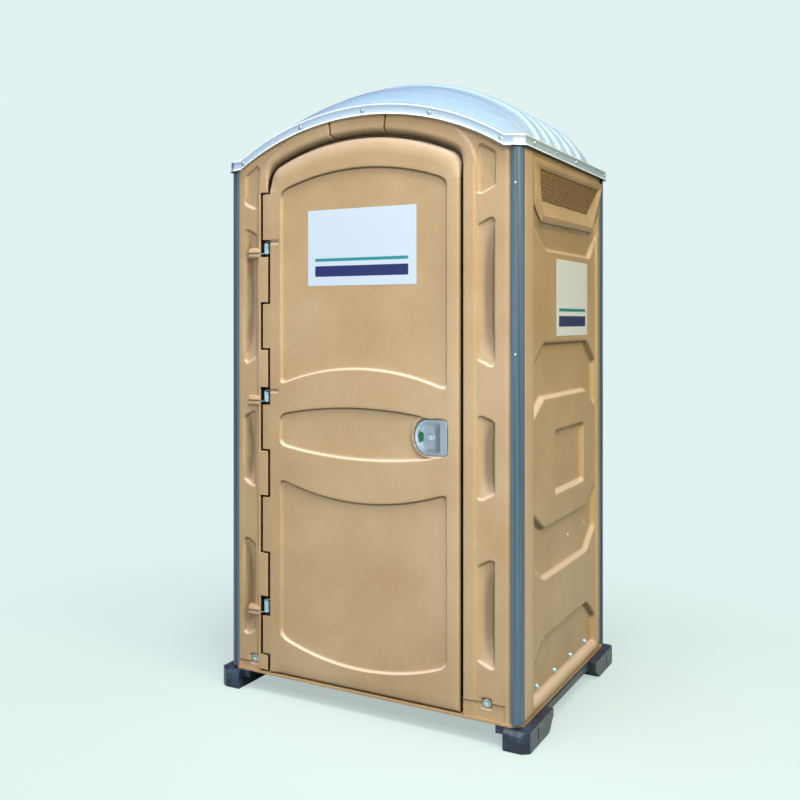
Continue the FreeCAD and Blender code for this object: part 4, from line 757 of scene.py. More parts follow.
# ---------------------------------------------------------------- door
@dataclass(frozen=True)
class Field:
    """A recessed field of the door, with an arched foot and head, each given by its side and middle heights."""

    low: tuple[float, float]
    high: tuple[float, float]
    sill: float = 6.5
    middle: float = -16.0
    half: float = 321.0
    span: tuple[float, float] = (-337.0, 305.0)
    steps: int = 41

    def edges(self, x: np.ndarray) -> tuple[np.ndarray, np.ndarray]:
        """Heights of the foot and of the head."""
        return arc(x, self.middle, self.half, *self.low), arc(x, self.middle, self.half, *self.high)

    def relief(self, depth: float, corner: float) -> Relief:
        """The recess, with its corners eased."""
        x = np.linspace(*self.span, self.steps)
        foot, head = self.edges(x)
        ring = np.array(list(zip(x, foot)) + list(zip(x[::-1], head[::-1])))
        t = np.linspace(0, 1, 7)[:, None]
        out = []
        for part, back in ((ring[:self.steps], ring[self.steps:]), (ring[self.steps:], ring[:self.steps])):
            start, end = part[0], part[-1]
            inner = part[(np.abs(part[:, 0] - start[0]) > corner) & (np.abs(part[:, 0] - end[0]) > corner)]
            before, after = back[-1] - start, back[0] - end
            up_start = start + before / np.linalg.norm(before) * corner
            up_end = end + after / np.linalg.norm(after) * corner
            out += list((1 - t) ** 2 * up_start + 2 * t * (1 - t) * start + t ** 2 * inner[0])
            out += list(inner[1:-1])
            out += list((1 - t) ** 2 * inner[-1] + 2 * t * (1 - t) * end + t ** 2 * up_end)
        outline = Outline(tuple(tuple(point) for point in out))
        return Relief(outline, depth, 5.0, sill=self.sill, head=5.0, soft=0.2)


UPPER_FIELD = Field((1161, 1227), (1885, 1949))
LOWER_FIELD = Field((223, 156), (815, 753))
LENS_FIELD = Field((938, 904), (1054, 1091), 7.0, -13.0, 326.0, (-339.0, 312.0), 45)


@dataclass
class DoorSkin:
    """The door's formed outer skin with its fields, knuckles and edge strips."""

    foot: float = 84.0
    depth: float = 30.0
    field_depth: float = 10.0
    corner: float = 26.0
    crown: float = 3.0
    crown_width: float = 60.0
    crown_drop: float = 24.0
    plate_half: float = 63.0
    plate_right: float = 307.0
    plate_corner: float = 16.0
    skin: float = 3.5
    pitch: float = 7.0

    def latch_edge(self, grow: float) -> Outline:
        """Outline of the latch plate, larger all round by grow."""
        angle = np.linspace(-math.pi / 2, -1.5 * math.pi, 25)
        rounded = zip(236 + (50 + grow) * np.cos(angle), PIVOT[1] + (self.plate_half + grow) * np.sin(angle))
        low, high = PIVOT[1] - self.plate_half - grow, PIVOT[1] + self.plate_half + grow
        turn, ease = np.linspace(0, math.pi / 2, 7), self.plate_corner
        x, z = self.plate_right + grow - ease + ease * np.sin(turn), high - ease + ease * np.cos(turn)
        return Outline((*rounded, *zip(x, z), *zip(x[::-1], (low + high - z)[::-1])))

    def reliefs(self) -> list[Relief]:
        """Every recess and raised form of the door's face."""
        wedge = Outline(((108, 104), (248, 142), (270, 94), (262, 84.5), (108, 84.5)), 3.0)
        fields = [field.relief(self.field_depth, self.corner) for field in (UPPER_FIELD, LOWER_FIELD, LENS_FIELD)]
        return fields + [Relief(wedge, -5.0, 4.0), Relief(self.latch_edge(15), -7.0, 9.0, soft=0.45),
                         Relief(self.latch_edge(1.0), 12.0, 2.5)]

    def build(self) -> list[Piece]:
        """Make the skin, its knuckles and the springs' slots."""
        knots = near(DOOR_LEFT, (0, 1.5, 4, 8, 14)) + near(DOOR_RIGHT, (-16, -10, -6, -3, -1, 0))
        for mark in UPPER_FIELD.span:
            knots += near(mark, (-6, -4, -2, 0, 2, 4, 6))
        knots += near(-337, (12, 12.01)) + near(186, (-16, -10, -5, 0)) + near(308, (0, 5, 9, 15)) + [-341, -356]
        x = lines(knots, self.pitch)
        level = np.ones_like(x)
        curves = [self.foot * level + step for step in (0, 1, 3, 6, 10)] + [142.0 * level]
        for field in (LOWER_FIELD, LENS_FIELD, UPPER_FIELD):
            for curve, up in zip(field.edges(x), (1, -1)):
                curves += [curve + step for step in sorted(up * step for step in (-1.5, 0.8, 2.4, 4, 5.6, 8))]
        top = door_top(x, 0.0, DOOR_LEFT)
        curves += [top - step for step in (57, 50, 26, 16, 11, 7, 4, 2, 1, 0.4, 0)]
        z = rows_between(curves, self.pitch)
        across = np.broadcast_to(x, z.shape)
        sink = sum(relief.sink(across, z) for relief in self.reliefs())
        for _, high in SPRING_WINDOWS:
            leg = high - (5.0 if high > 1600 else 8.8)
            sink = np.maximum(sink, Relief(Outline.box(-385, -341, leg - 3, leg + 3), 6.0, 1.2).sink(across, z))
        edge = Outline(tuple(zip(np.concatenate([[DOOR_LEFT, DOOR_RIGHT], x[::-1]]),
                                 np.concatenate([[self.foot, self.foot], top[::-1]]))))
        inside = -edge.distance(across, z)[0]
        upper = np.clip((z - 1885) / 55, 0, 1)
        left = np.clip((-340 - across) / 30, 0, 1) * (1 - upper)
        flush = left * in_spans(z, DOOR_KNUCKLES)
        radius = 3.0 + 5.0 * (1 - left) * (1 - upper)
        sink = sink + rolled(np.clip(inside, 0, None), radius) * (1 - flush)
        lean = np.clip(1 - inside / self.crown_width, 0, 1)
        sink = sink + self.crown_drop * (1 - np.sqrt(1 - lean ** 2)) * upper
        sink = sink + self.crown * np.clip(1 - inside / 45.0, 0, 1) ** 2 * (1 - left) * (1 - upper)
        # The turned border is painted dark as shade in the gaps round the door.
        face = formed_sheet("door_face", Wall.FRONT, HALF_DEPTH, across, z, sink, self.depth, SHELL, "door", rim_shade=0.8,
                            skin=self.skin, smooth=50, stands_for=["door_outer_skin"])
        return [face, knuckle_row("door_hinge_knuckles", -1, DOOR_KNUCKLES, "door")]


def in_spans(up: np.ndarray, spans: Sequence[tuple[float, float]], soft: float = 2.0) -> np.ndarray:
    """1 at heights inside any of the spans, 0 outside, with soft ends."""
    inside = [np.clip((up - low) / soft, 0, 1) * np.clip((high - up) / soft, 0, 1) for low, high in spans]
    return np.max(inside, axis=0)


def knuckle_row(name: str, side: int, spans: Sequence[tuple[float, float]], body: str) -> Piece:
    """Knuckles that run flush out of a leaf towards side: a flat front, an eased corner and an inner face painted dark
    as shade.

    Args:
        name: The piece's name.
        side: 1 where the leaf is on the left and the knuckles reach right, -1 for the other way.
        spans: Foot and head of each knuckle.
        body: The body that they ride on.

    Returns:
        The new object.
    """
    reach = 9.0 if side > 0 else 12.5
    root = 33.0 if side > 0 else 28.0
    front = -14.9
    corner = [(reach - 2 + 2 * math.sin(a), front + 2 - 2 * math.cos(a)) for a in np.linspace(0, math.pi / 2, 5)]
    plan = [(-root, front)] + corner + [(reach, front + 4.5), (reach + 2.5, 0), (8.0, 13), (0, 15), (-root, 15)]
    # Painted shade for each corner of the outline: the inner faces, in the hinge's gap, are dark.
    dark = np.array([0.0, 0, 0, 0, 0, 0.25, 1, 1, 1, 1, 1])
    if side < 0:
        plan, dark = plan[::-1], dark[::-1]
    plan = [(HINGE_X + side * a, HINGE_Y + b) for a, b in plan]
    parts = [prism(plan, low + 3.6, high - 3.6, upright) for low, high in spans]
    painted_shade = np.tile(dark, 2 * len(spans)) * 0.9
    piece = new_piece(name, *joined(parts), SHELL, body, painted_shade=painted_shade)
    bevel(piece, 1.0, 2, 60)
    return piece


@dataclass
class Latch:
    """Dished plate with a window and a pull flange, an indicator behind it and its pin."""

    dish: float = 5.0
    flange: float = 280.0
    flange_wall: float = 24.0
    plane: float = 563.0
    skirt_plane: float = 551.5
    window_planes: tuple[float, float] = (557.5, 560.2)
    sector_planes: tuple[float, float] = (555.2, 557.2)
    sector_radii: tuple[float, float] = (49.0, 12.0)

    def height(self, x: np.ndarray, z: np.ndarray, share: np.ndarray) -> np.ndarray:
        """How far the plate stands behind its front plane: rolled rim, dish and pull flange."""
        rim = 3.0 * np.clip((share - 0.93) / 0.07, 0, 1) ** 2
        wall = 1 - np.clip((x - self.flange + self.flange_wall) / self.flange_wall, 0, 1) ** 2
        dished = self.dish * eased((0.92 - share) / 0.35) * wall
        hub = -2.0 * np.exp(-(((x - PIVOT[0]) ** 2 + (z - PIVOT[1]) ** 2) / 10.0 ** 2) ** 2)
        return rim + dished + hub

    def build(self) -> list[Piece]:
        """Make the plate, the window's rim, and the green and red sectors of the indicator."""
        edge = np.array(DoorSkin().latch_edge(0.0).points)
        ring = np.concatenate([edge, edge[:1]])
        run = np.concatenate([[0], np.cumsum(np.linalg.norm(np.diff(ring, axis=0), axis=1))])
        at = np.linspace(0, 1, 240)[:-1] * run[-1]
        rim = np.stack([np.interp(at, run, line) for line in ring.T], axis=1)
        share = np.concatenate([[1.0, 0.995, 0.985, 0.97, 0.955, 0.94, 0.925], np.linspace(0.9, 0.03, 40)])
        places = np.array(PIVOT) + (rim - PIVOT)[None] * share[:, None, None]
        out = self.plane - self.height(places[..., 0], places[..., 1], share[:, None] * np.ones(len(rim)))
        front = Wall.FRONT.place(places[..., 0], out, places[..., 1])
        skirt = Wall.FRONT.place(rim[:, 0], np.full(len(rim), self.skirt_plane), rim[:, 1])[None]
        grid = np.concatenate([skirt, front])
        quads = ring_faces(len(grid), len(rim))[:, [0, 3, 2, 1]]
        middle = grid.reshape(-1, 3)[quads].mean(axis=1)
        gap = Outline(tuple(map(tuple, self.window_outline(1.0))))
        quads = quads[gap.distance(middle[:, 0], middle[:, 2])[0] > 0].tolist()
        quads.append(list(range((len(grid) - 1) * len(rim), len(grid) * len(rim))))
        plate = new_piece("latch_plate_face", grid, quads, CASTING, "door", stands_for=["latch_plate"])
        return [plate, self.window(), *self.indicator()]

    def window_outline(self, grow: float) -> np.ndarray:
        """The window: a notched wedge left of the pin."""
        shape = np.array([(222, 990), (222, 1016), (206, 1024), (201, 1003), (206, 982)], float)
        middle = shape.mean(0)
        away = shape - middle
        return middle + away * (1 + grow / np.linalg.norm(away, axis=1, keepdims=True))

    def window(self) -> Piece:
        """A thin raised rim round the window, in bright metal."""
        outer, inner = self.window_outline(3.0), self.window_outline(0.0)
        count = len(outer)
        low, high = self.window_planes
        rings = [(outer, low), (outer, high), (inner, high), (inner, low)]
        points = np.concatenate([Wall.FRONT.place(r[:, 0], np.full(count, at), r[:, 1]) for r, at in rings])
        quads = ring_faces(4, count)[:, [0, 3, 2, 1]]
        return new_piece("latch_window_rim", points, quads, STEEL, "door")

    def indicator(self) -> list[Piece]:
        """The sector behind the window: green at rest, red once the lever has turned."""
        pieces = []
        for name, first, last, finish in (("indicator_green", 153, 213, GREEN), ("indicator_red", 97, 153, RED)):
            angle = np.radians(np.linspace(first, last, 25))
            edges = [np.stack([PIVOT[0] + radius * np.cos(turn), PIVOT[1] + radius * np.sin(turn)], axis=1)
                     for radius, turn in zip(self.sector_radii, (angle, angle[::-1]))]
            solid = prism(np.concatenate(edges), *self.sector_planes, facing_front)
            pieces.append(new_piece(name, *solid, finish, "latch"))
        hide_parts("indicator_disc")
        return pieces


# ---------------------------------------------------------------- frame
@dataclass
class FrontFrame:
    """The formed front frame: two stiles, the header over the door, the stop and the knuckles."""

    band: float = 5.0
    recess: float = 23.0
    left_edge: float = -528.0
    turned: float = 55.0
    catch_depth: float = 26.0
    pads: tuple = ((-512.0, -396.0, 108.0), (362.0, 500.0, 135.5))
    stop_ends: tuple[float, float] = (-373.7, 342.4)
    stop_foot: float = 130.0
    boss_ends: tuple[float, float] = (-471.0, -422.0)
    skin: float = 4.0
    pitch: float = 8.0
    recesses: tuple = (
        ((407, 1827), (419.7, 1822.3), (470, 1848.3), (468.5, 1962), (416.7, 1993.3), (407, 1985)),
        ((406.5, 1270.4), (455, 1246), (467.5, 1258), (467.7, 1736), (456, 1748), (408.5, 1724)),
        ((406.6, 807.5), (420, 799.5), (467.7, 829.7), (467.7, 1063.9), (420, 1088), (406.6, 1079.8)),
        ((407.3, 267.5), (456.5, 244.5), (467.1, 251.2), (467, 602.6), (452.2, 611.5), (408.5, 584.7)),
        ((-493, 1846), (-447.4, 1822), (-438.6, 1828), (-426, 1977.9), (-440.4, 1988), (-490, 1954)),
        ((-495, 1250), (-481.5, 1236), (-439.5, 1263), (-439.1, 1727.7), (-481.3, 1753), (-491, 1745.7)),
        ((-495, 797), (-452.6, 768.5), (-442, 776.9), (-441, 1055.9), (-452.6, 1063), (-494, 1037.2)),
        ((-496, 213.3), (-480, 203.3), (-442, 228.3), (-442.5, 552.9), (-480, 579.6), (-493.5, 570.6)),
    )
    grooves: tuple = (((-104, 2046), (-118.4, 2060), (-132, 2074), (-135, 2122)),
                      ((94, 2040), (84, 2053), (75.5, 2075), (82.5, 2126)))
    anchors: tuple = ((-452.0, 118.0), (436.0, 130.0))

    def scoop(self, low: float, high: float, near_x: float, far_x: float) -> Callable:
        """Depth share of a tall recess: down from the door side to a bowed crease, then steeply up to the post side."""
        def share(across: np.ndarray, up: np.ndarray) -> np.ndarray:
            u = np.clip((across - near_x) / (far_x - near_x), 0, 1)
            v = np.clip((up - (low + high) / 2) / ((high - low) / 2), -1, 1)
            crease = 1 - 0.3 * (1 - v * v)
            valley = np.minimum(u / crease, (1.0001 - u) / (1.0001 - crease))
            deep = 1 - np.abs(v) ** 3.2
            return 0.22 + 0.78 * deep * eased(valley, 0.12)
        return share

    def stile_recess(self, points: tuple) -> Relief:
        """A recess in a stile, scooped where it is tall, from its corners in order."""
        across, up = np.array(points).T
        if up.max() - up.min() < 200:
            return Relief(Outline(points, 8.0), 8.0, 4.5, sill=5.5, head=4.5, soft=0.2)
        ends = sorted((across.min(), across.max()), key=abs)
        return Relief(Outline(points, 7.0), self.recess, 4.5, sill=5.5, head=4.5, soft=0.2,
                      scoop=self.scoop(up.min(), up.max(), *ends))

    def reliefs(self) -> list[Relief]:
        """Every recess of the frame's face and the raised band round the opening."""
        found = [self.stile_recess(points) for points in self.recesses]
        found += [Relief(Outline.box(left, right, 60, top, 4.0), 5.0, 3.0, head=4.0) for left, right, top in self.pads]
        for across, up in self.anchors:
            found.append(Relief(Outline.box(across - 17, across + 17, up - 20, up + 20, 6.0), 14.0, 5.0))
        return found

    def band_outline(self) -> Outline:
        """Outer edge of the raised band: beside the opening, and up its corners until the roof's flange hides it."""
        points = [(-433.5, 60.0), (399.0, 60.0), (399.0, 1880.0), (403.0, 1940.0), (397.0, 1975.0), (381.0, 2007.0),
                  (351.0, 2042.0), (300.0, 2085.0), (0.0, 2175.0), (-290.0, 2085.0), (-322.0, 2062.0), (-376.0, 2028.4),
                  (-404.5, 1992.5), (-428.8, 1941.7), (-433.5, 1900.0)]
        return Outline(tuple(points), 12.0)

    def build(self) -> list[Piece]:
        """Make the face, the stop, the knuckles and the bosses beside the springs."""
        knots = near(self.left_edge, (0, 2, 5, 9, 14)) + near(FRAME_EDGE, (-14, -9, -5, -2, 0))
        knots += near(OPENING_LEFT, (-5, -3, -1, 0)) + near(CORNER_LEFT, (-5, -3, -1, 0))
        knots += near(OPENING_RIGHT, (0, 1, 3, 5))
        knots += near(-433.5, (-1, 2, 4)) + near(399, (-4, -2, 1)) + near(407, (0, 3, 6)) + near(470, (-6, -3, 0))
        knots += near(-440.5, (-6, -4, -2, 0)) + near(-495, (0, 2, 4, 6)) + near(-512, (0, 3)) + [-396, -399, 500, 497]
        for middle in (-121, 84):
            knots += near(middle, tuple(range(-18, 21, 2)))
        x = lines(knots, self.pitch)
        level = np.ones_like(x)
        opening = door_top(x, OPENING_GROW, CORNER_LEFT)
        crest = arc(x, 0, ARCH_HALF, WALL_TOP, ARCH_CREST)
        curves = [WALL_FOOT * level + step for step in (0, 2, 6)]
        marks = [98, 138, 110, 150, CORNER_FOOT]
        for points in self.recesses:
            for _, up in points:
                marks += near(up, (-6, -2, 2, 6))
        for pad in self.pads:
            marks += near(pad[2], (-4, -2, 0))
        curves += [mark * level for mark in sorted(mark for mark in marks if mark < 1920)]
        curves += [opening + step for step in (-0.001, 0.5, 1.5, 3, 5, 8, 12, 16, 20)]
        curves += [np.minimum(opening + 20 + (crest - opening - 20) * share, crest) for share in (0.35, 0.7)]
        curves += [crest - 1.0, crest]
        z = rows_between(curves, self.pitch)
        across = np.broadcast_to(x, z.shape)
        sink = sum(relief.sink(across, z) for relief in self.reliefs())
        sink = sink - self.band * eased(-self.band_outline().distance(across, z)[0] / 5.0, 0.3)
        # Painted shade on the floors of the deeper recesses, below 1800 mm.
        face_shade = 0.75 * eased((sink - 8.0) / 11.0) * (z < 1800)
        for way in self.grooves:
            away = np.full(across.shape, 1e9)
            for foot, head in zip(way, way[1:]):
                a, run = np.array(foot, float), np.subtract(head, foot).astype(float)
                share = np.clip(((across - a[0]) * run[0] + (z - a[1]) * run[1]) / (run ** 2).sum(), 0, 1)
                away = np.minimum(away, np.hypot(across - a[0] - share * run[0], z - a[1] - share * run[1]))
            sink = sink + 8.0 * np.exp(-(away / 2.6) ** 2)
            # Painted shade along the groove.
            face_shade = np.maximum(face_shade, 1.4 * np.exp(-(away / 3.0) ** 2))
        middle_x, middle_z = (x[None, :-1] + x[None, 1:]) / 2, (z[:-1, :-1] + z[1:, 1:]) / 2
        left = np.where(middle_z < CORNER_FOOT, OPENING_LEFT, CORNER_LEFT)
        below = middle_z < (opening[:-1] + opening[1:])[None] / 2
        keep = ~((middle_x > left) & (middle_x < OPENING_RIGHT) & below)
        arch = (x >= CORNER_LEFT) & (x <= OPENING_RIGHT)
        hole = Outline(((OPENING_LEFT, 0), (OPENING_RIGHT, 0), *zip(x[arch][::-1], opening[arch][::-1]),
                        (CORNER_LEFT, CORNER_FOOT), (OPENING_LEFT, CORNER_FOOT)))
        off = np.clip(hole.distance(across, z)[0], 0, None)
        high = np.clip((z - 1915) / 60, 0, 1)
        flush = in_spans(z, FRAME_KNUCKLES) * (across < -380)
        sink = sink + rolled(off, 3.5 + 19.0 * high) * (1 - flush)
        side = np.clip(np.minimum(FRAME_EDGE - across, across - self.left_edge), 0, None)
        sink = sink + rolled(side, 18.0)
        catch = (np.abs(across - 360) < 12) & (np.abs(z - LEVER_TIP) < 30)
        reach = np.where(catch, self.catch_depth, self.turned)
        # The turned border is painted dark as shade in the gaps.
        face = formed_sheet("front_frame_face", Wall.FRONT, STILE_PLANE, across, z, sink, reach, SHELL, "cabin",
                            rim_shade=0.9, face_shade=face_shade, keep=keep, skin=self.skin, smooth=50, stands_for=["front_frame"])
        return [face, self.stop(), knuckle_row("frame_hinge_knuckles", 1, FRAME_KNUCKLES, "cabin"), self.bosses()]

    def stop(self) -> Piece:
        """The stop behind the door: a strip from the opening's edge inwards, then back, painted dark as shade in the
        gap.
        """
        x = np.concatenate([np.linspace(CORNER_LEFT, CORNER_LEFT + 30, 8), np.linspace(-355, 325, 50),
                            np.linspace(330, OPENING_RIGHT, 8)])
        outer = np.stack([x, door_top(x, OPENING_GROW, CORNER_LEFT)], axis=1)
        left = [(OPENING_LEFT, self.stop_foot), (OPENING_LEFT, 1890), (CORNER_LEFT, 1892)]
        right = [(OPENING_RIGHT, LEVER_TIP + step) for step in (34, 28, -44, -50)] + [(OPENING_RIGHT, self.stop_foot)]
        outer = np.concatenate([left, outer, right])
        way = np.gradient(outer, axis=0)
        way /= np.linalg.norm(way, axis=1, keepdims=True)
        inner = outer + np.stack([way[:, 1], -way[:, 0]], axis=1) * 18.0
        first, last = self.stop_ends
        inner[:, 0] = np.clip(inner[:, 0], first, last)
        inner[:3, 0] = first
        inner[0], inner[-1] = (first, self.stop_foot), (last, self.stop_foot)
        rows = [(outer, 524.8), (outer * 0.15 + inner * 0.85, 524.8), (inner, 522.5), (inner, 505.0)]
        catch = (outer[:, 0] > 350) & (np.abs(outer[:, 1] - LEVER_TIP + 8) < 37)
        grid = np.concatenate([Wall.FRONT.place(line[:, 0], np.where(catch, np.minimum(at, 520.5), at), line[:, 1])
                               for line, at in rows])
        quads = sheet_faces((len(rows), len(outer)))[:, ::-1]
        # Painted shade in the gap: full up to 1900 mm, easing to about a third at the head.
        dark = np.clip((1960 - grid[:, 2]) / 60, 0.38, 1.0) * 0.92
        piece = new_piece("door_stop", grid, quads, SHELL, "cabin", painted_shade=dark)
        thicken(piece, 3.0)
        return piece

    def bosses(self) -> Piece:
        """Blocks beside the springs, each in two halves with the leg's slot between them."""
        parts = []
        for low, _ in SPRING_WINDOWS:
            lower = [(548, low - 6), (567, low - 6), (570.5, low - 2), (570.5, low + 8), (548, low + 8)]
            upper = [(548, low + 12.4), (570.5, low + 12.4), (570.5, low + 19), (560.5, low + 33), (548, low + 33)]
            parts += [prism(outline, *self.boss_ends, lambda out, up, along: np.stack([along, -out, up], axis=-1))
                      for outline in (lower, upper)]
        piece = new_piece("spring_bosses", *joined(parts), SHELL, "cabin")
        bevel(piece, 3.0, 3)
        return piece


# ---------------------------------------------------------------- walls
@dataclass
class WallPanel:
    """A formed side or back panel with its stepped field, its slanting recesses and, at a side, a vent."""

    name: str
    wall: Wall
    half: float
    plane: float
    vented: bool
    step: float = 6.0
    recess: float = 17.0
    field_half: float = 432.0
    skin: float = 4.0
    pitch: float = 9.0
    vent: tuple = ((1813.0, 304.0), (1917.0, 388.0))
    bands: tuple = ((1128, 1065, 1244, 1326), (500, 575, 746, 683), (112, 112, 224, 305))
    upper: tuple = ((-249, 1645), (343, 1645), (456, 1751), (458, 1834), (351, 1742), (-341, 1733), (-423, 1786),
                    (-421, 1720))
    hood: tuple = ((-424, 1957), (-424, 1791), (-341, 1739), (351, 1748), (448, 1831), (528, 1957))
    funnel: tuple = ((-399, 1933), (-375, 1846), (-350, 1760), (311, 1764), (409, 1850), (511, 1938))
    screen_plane: float = 542.4
    rivet_depth: float = 24.0
    screen: tuple = ((-324, 1927), (-315, 1872), (-306, 1815), (316, 1816), (407.5, 1873.5), (499, 1931))

    def band(self, low_middle: float, low_edge: float, high_edge: float, high_middle: float) -> Relief:
        """A recess across the wall whose foot and head slant towards its ends."""
        edge, half = self.field_half - self.step - 5, 290
        points = ((-half, low_middle), (half, low_middle), (edge, low_edge), (edge, high_edge), (half, high_middle),
                  (-half, high_middle), (-edge, high_edge), (-edge, low_edge))
        return Relief(Outline(points, 14.0), self.recess, 9.0, sill=12.0, head=6.0, soft=0.2)

    def reliefs(self) -> list[Relief]:
        """Every form of the panel's face."""
        field = Outline.box(-self.field_half, self.field_half, 104, 1957, 20.0)
        found = [Relief(field, self.step, 5.0, sill=8.0, soft=0.2)]
        found += [self.band(*band) for band in self.bands]
        if self.vented:
            middle = tuple(map(tuple, (np.array(self.hood) + np.array(self.funnel)) / 2))
            found += [Relief(Outline.box(-150, 250, 780, 1010, 20.0), self.recess, 9.0, sill=12.0, head=6.0, soft=0.2),
                      Relief(self.own(self.upper), self.recess, 8.0, sill=10.0, head=4.0, soft=0.2,
                             scoop=lambda across, up: 1 - 0.7 * np.clip((up - 1645) / 97, 0, 1)),
                      Relief(self.own(middle), self.recess, 6.0)]
        else:
            found.append(self.band(1646, 1715, 1790, 1746))
        return found

    def own(self, points: tuple, corner: float = 12.0) -> Outline:
        """An outline given by places along the cabin and heights, on this wall."""
        return Outline(tuple((-a, b) for a, b in points[::-1]) if self.wall is Wall.LEFT else points, corner)

    def vent_hood(self) -> Piece:
        """The frame round the vent: its edge, its flat face, the funnel down to the screen and a thin lip."""
        frame_line, funnel, screen = (self.own(points, 10.0).path() for points in (self.hood, self.funnel, self.screen))
        middle = screen.mean(axis=0)
        lip = middle + (screen - middle) * (1 - 5.0 / np.linalg.norm(screen - middle, axis=1, keepdims=True))
        inner = frame_line + (funnel - frame_line) * 0.08
        proud = 12.0 * np.clip((1938 - funnel[:, 1]) / 174, 0, 1)
        rings = ((frame_line, 543.0), (frame_line, 553.4), (inner, 555.0), (funnel, 554.2 + proud),
                 (funnel * 0.96 + screen * 0.04, 554.0 + proud), (screen, 544.6), (lip, 544.6), (lip, 541.0))
        points = np.stack([self.wall.place(ring[:, 0], at + 0.0 * ring[:, 0], ring[:, 1]) for ring, at in rings])
        quads = ring_faces(*points.shape[:2])
        # Painted shadow under the lower part of the frame's edge, and painted shade on the lip inside the opening.
        painted_shade = np.zeros(points.shape[:2])
        painted_shade[:2] = np.where(frame_line[:, 1] < 1850, 0.7, 0.0)
        painted_shade[6:] = 0.35
        return new_piece(self.name + "_hood", points, quads, SHELL, "cabin", painted_shade=painted_shade)

    def build(self) -> list[Piece]:
        """Make the panel and, behind its vent, the mesh."""
        knots = [0.0]
        for sign in (-1, 1):
            knots += [sign * (self.half - step) for step in (0, 2, 6, 12)]
            knots += [sign * mark for mark in (460, 456, 452, 432, 428, 423, 421, 412, 404, 290)]
        if self.vented:
            knots += near(-150, (0, 7, 14)) + near(250, (-14, -7, 0)) + [-304, 304, -300, 300]
        base = lines(knots, self.pitch)
        marks = [WALL_FOOT, WALL_FOOT + 2, WALL_FOOT + 6, 104, 111, 118, 1950, 1957]
        for band in self.bands:
            marks += near(band[0], (0, 4, 8, 12)) + near(band[-1], (0, -3, -6, -9))
        if self.vented:
            marks += [780, 786, 792, 802, 1000, 1005, 1010, 1640, 1645, 1650, 1655, 1733, 1738, 1742, 1813, 1917, 1955,
                      1971]
        top = np.full_like(base, WALL_TOP) if self.vented else arc(base, 0, ARCH_HALF, WALL_TOP, ARCH_CREST)
        z_lines = lines(marks + [2004.0], self.pitch)
        z = np.broadcast_to(z_lines[:, None], (len(z_lines), len(base)))
        z = np.concatenate([z, rows_between([np.full_like(base, 2006.0), top], self.pitch)])
        across = np.broadcast_to(base, z.shape)
        keep = face_shade = rubbing_and_highlight = None
        if self.vented:
            (low, narrow), (high, broad) = self.vent
            wide = narrow + (broad - narrow) * np.clip((z - low) / (high - low), 0, 1)
            inner = across * wide / narrow
            outer = np.sign(across) * (wide + (np.abs(across) - narrow) * (self.half - wide) / (self.half - narrow))
            across, flat = np.where(np.abs(across) <= narrow, inner, outer), across
            middle_z, middle_b = (z[:-1, :-1] + z[1:, 1:]) / 2, (flat[:-1, :-1] + flat[1:, 1:]) / 2
            keep = ~((np.abs(middle_b) < narrow) & (middle_z > low) & (middle_z < high))
        sink = sum(relief.sink(across, z) for relief in self.reliefs())
        side = np.clip(self.half - np.abs(across), 0, None)
        sink = sink + 0.6 * rolled(side, 12.0) + 0.6 * rolled(np.clip(z - WALL_FOOT, 0, None), 10.0)
        if self.vented:
            # Painted shadow of the roof's flange on the strip above the vent.
            face_shade = 0.75 * np.clip((z - 1955) / 16, 0, 1)
            rear = -across if self.wall is Wall.LEFT else across
            sink = sink + 11.0 * np.clip((rear - 456) / 73, 0, 1)
            # Painted highlight along the front border.
            rubbing_and_highlight = 0.55 * np.clip((-rear - 436) / 16, 0, 1)
        panel = formed_sheet(self.name + "_face", self.wall, self.plane, across, z, sink, 34.0, SHELL, "cabin",
                             keep=keep, skin=self.skin, face_shade=face_shade, rubbing_and_highlight=rubbing_and_highlight, smooth=50, stands_for=[self.name])
        return [panel] + ([self.mesh(), self.rivets(), self.vent_hood()] if self.vented else [])

    def mesh(self) -> Piece:
        """The mesh behind the vent: a thin sheet that bellies a little between its edges."""
        corners = np.array(self.own(self.screen).points)
        middle = corners[[1, 4]].mean(axis=0)
        ring = middle + (corners - middle) * 1.006
        if self.wall is Wall.LEFT:
            ring = ring[::-1] * (-1, 1)
        s, t = np.meshgrid(np.linspace(0, 1, 70), np.linspace(0, 1, 16))
        foot, head = ring[2] + (ring[3] - ring[2]) * s[..., None], ring[0] + (ring[5] - ring[0]) * s[..., None]
        place = foot + (head - foot) * t[..., None]
        along = place[..., 0] * (-1 if self.wall is Wall.LEFT else 1)
        sag = 0.8 * np.sin(along / 37.0) * np.sin(t * math.pi)
        points = self.wall.place(along, self.screen_plane + sag, place[..., 1])
        if self.wall is Wall.LEFT:
            points = points[:, ::-1]
        name = "vent_screen_" + self.wall.value
        piece = new_piece(name + "_mesh", points, sheet_faces(along.shape), MESH, "cabin", stands_for=[name])
        thicken(piece, 1.2)
        return piece

    def rivets(self) -> Piece:
        """Small bright rivet heads that hold the inside fittings."""
        head = ((7, 0), (7, 1.0), (5.8, 2.6), (3.4, 3.8), (0.2, 4.2))
        depth = self.plane - self.rivet_depth
        parts = [revolve(head, self.wall.place(across, depth, up), self.wall.place(0.0, 1.0, 0.0), 16)
                 for across, up in ((55.0, 1058.0), (214.0, 1048.0), (325.0, 608.0), (88.0, 599.0))]
        return new_piece(self.name + "_rivets", *joined(parts), STEEL, "cabin")


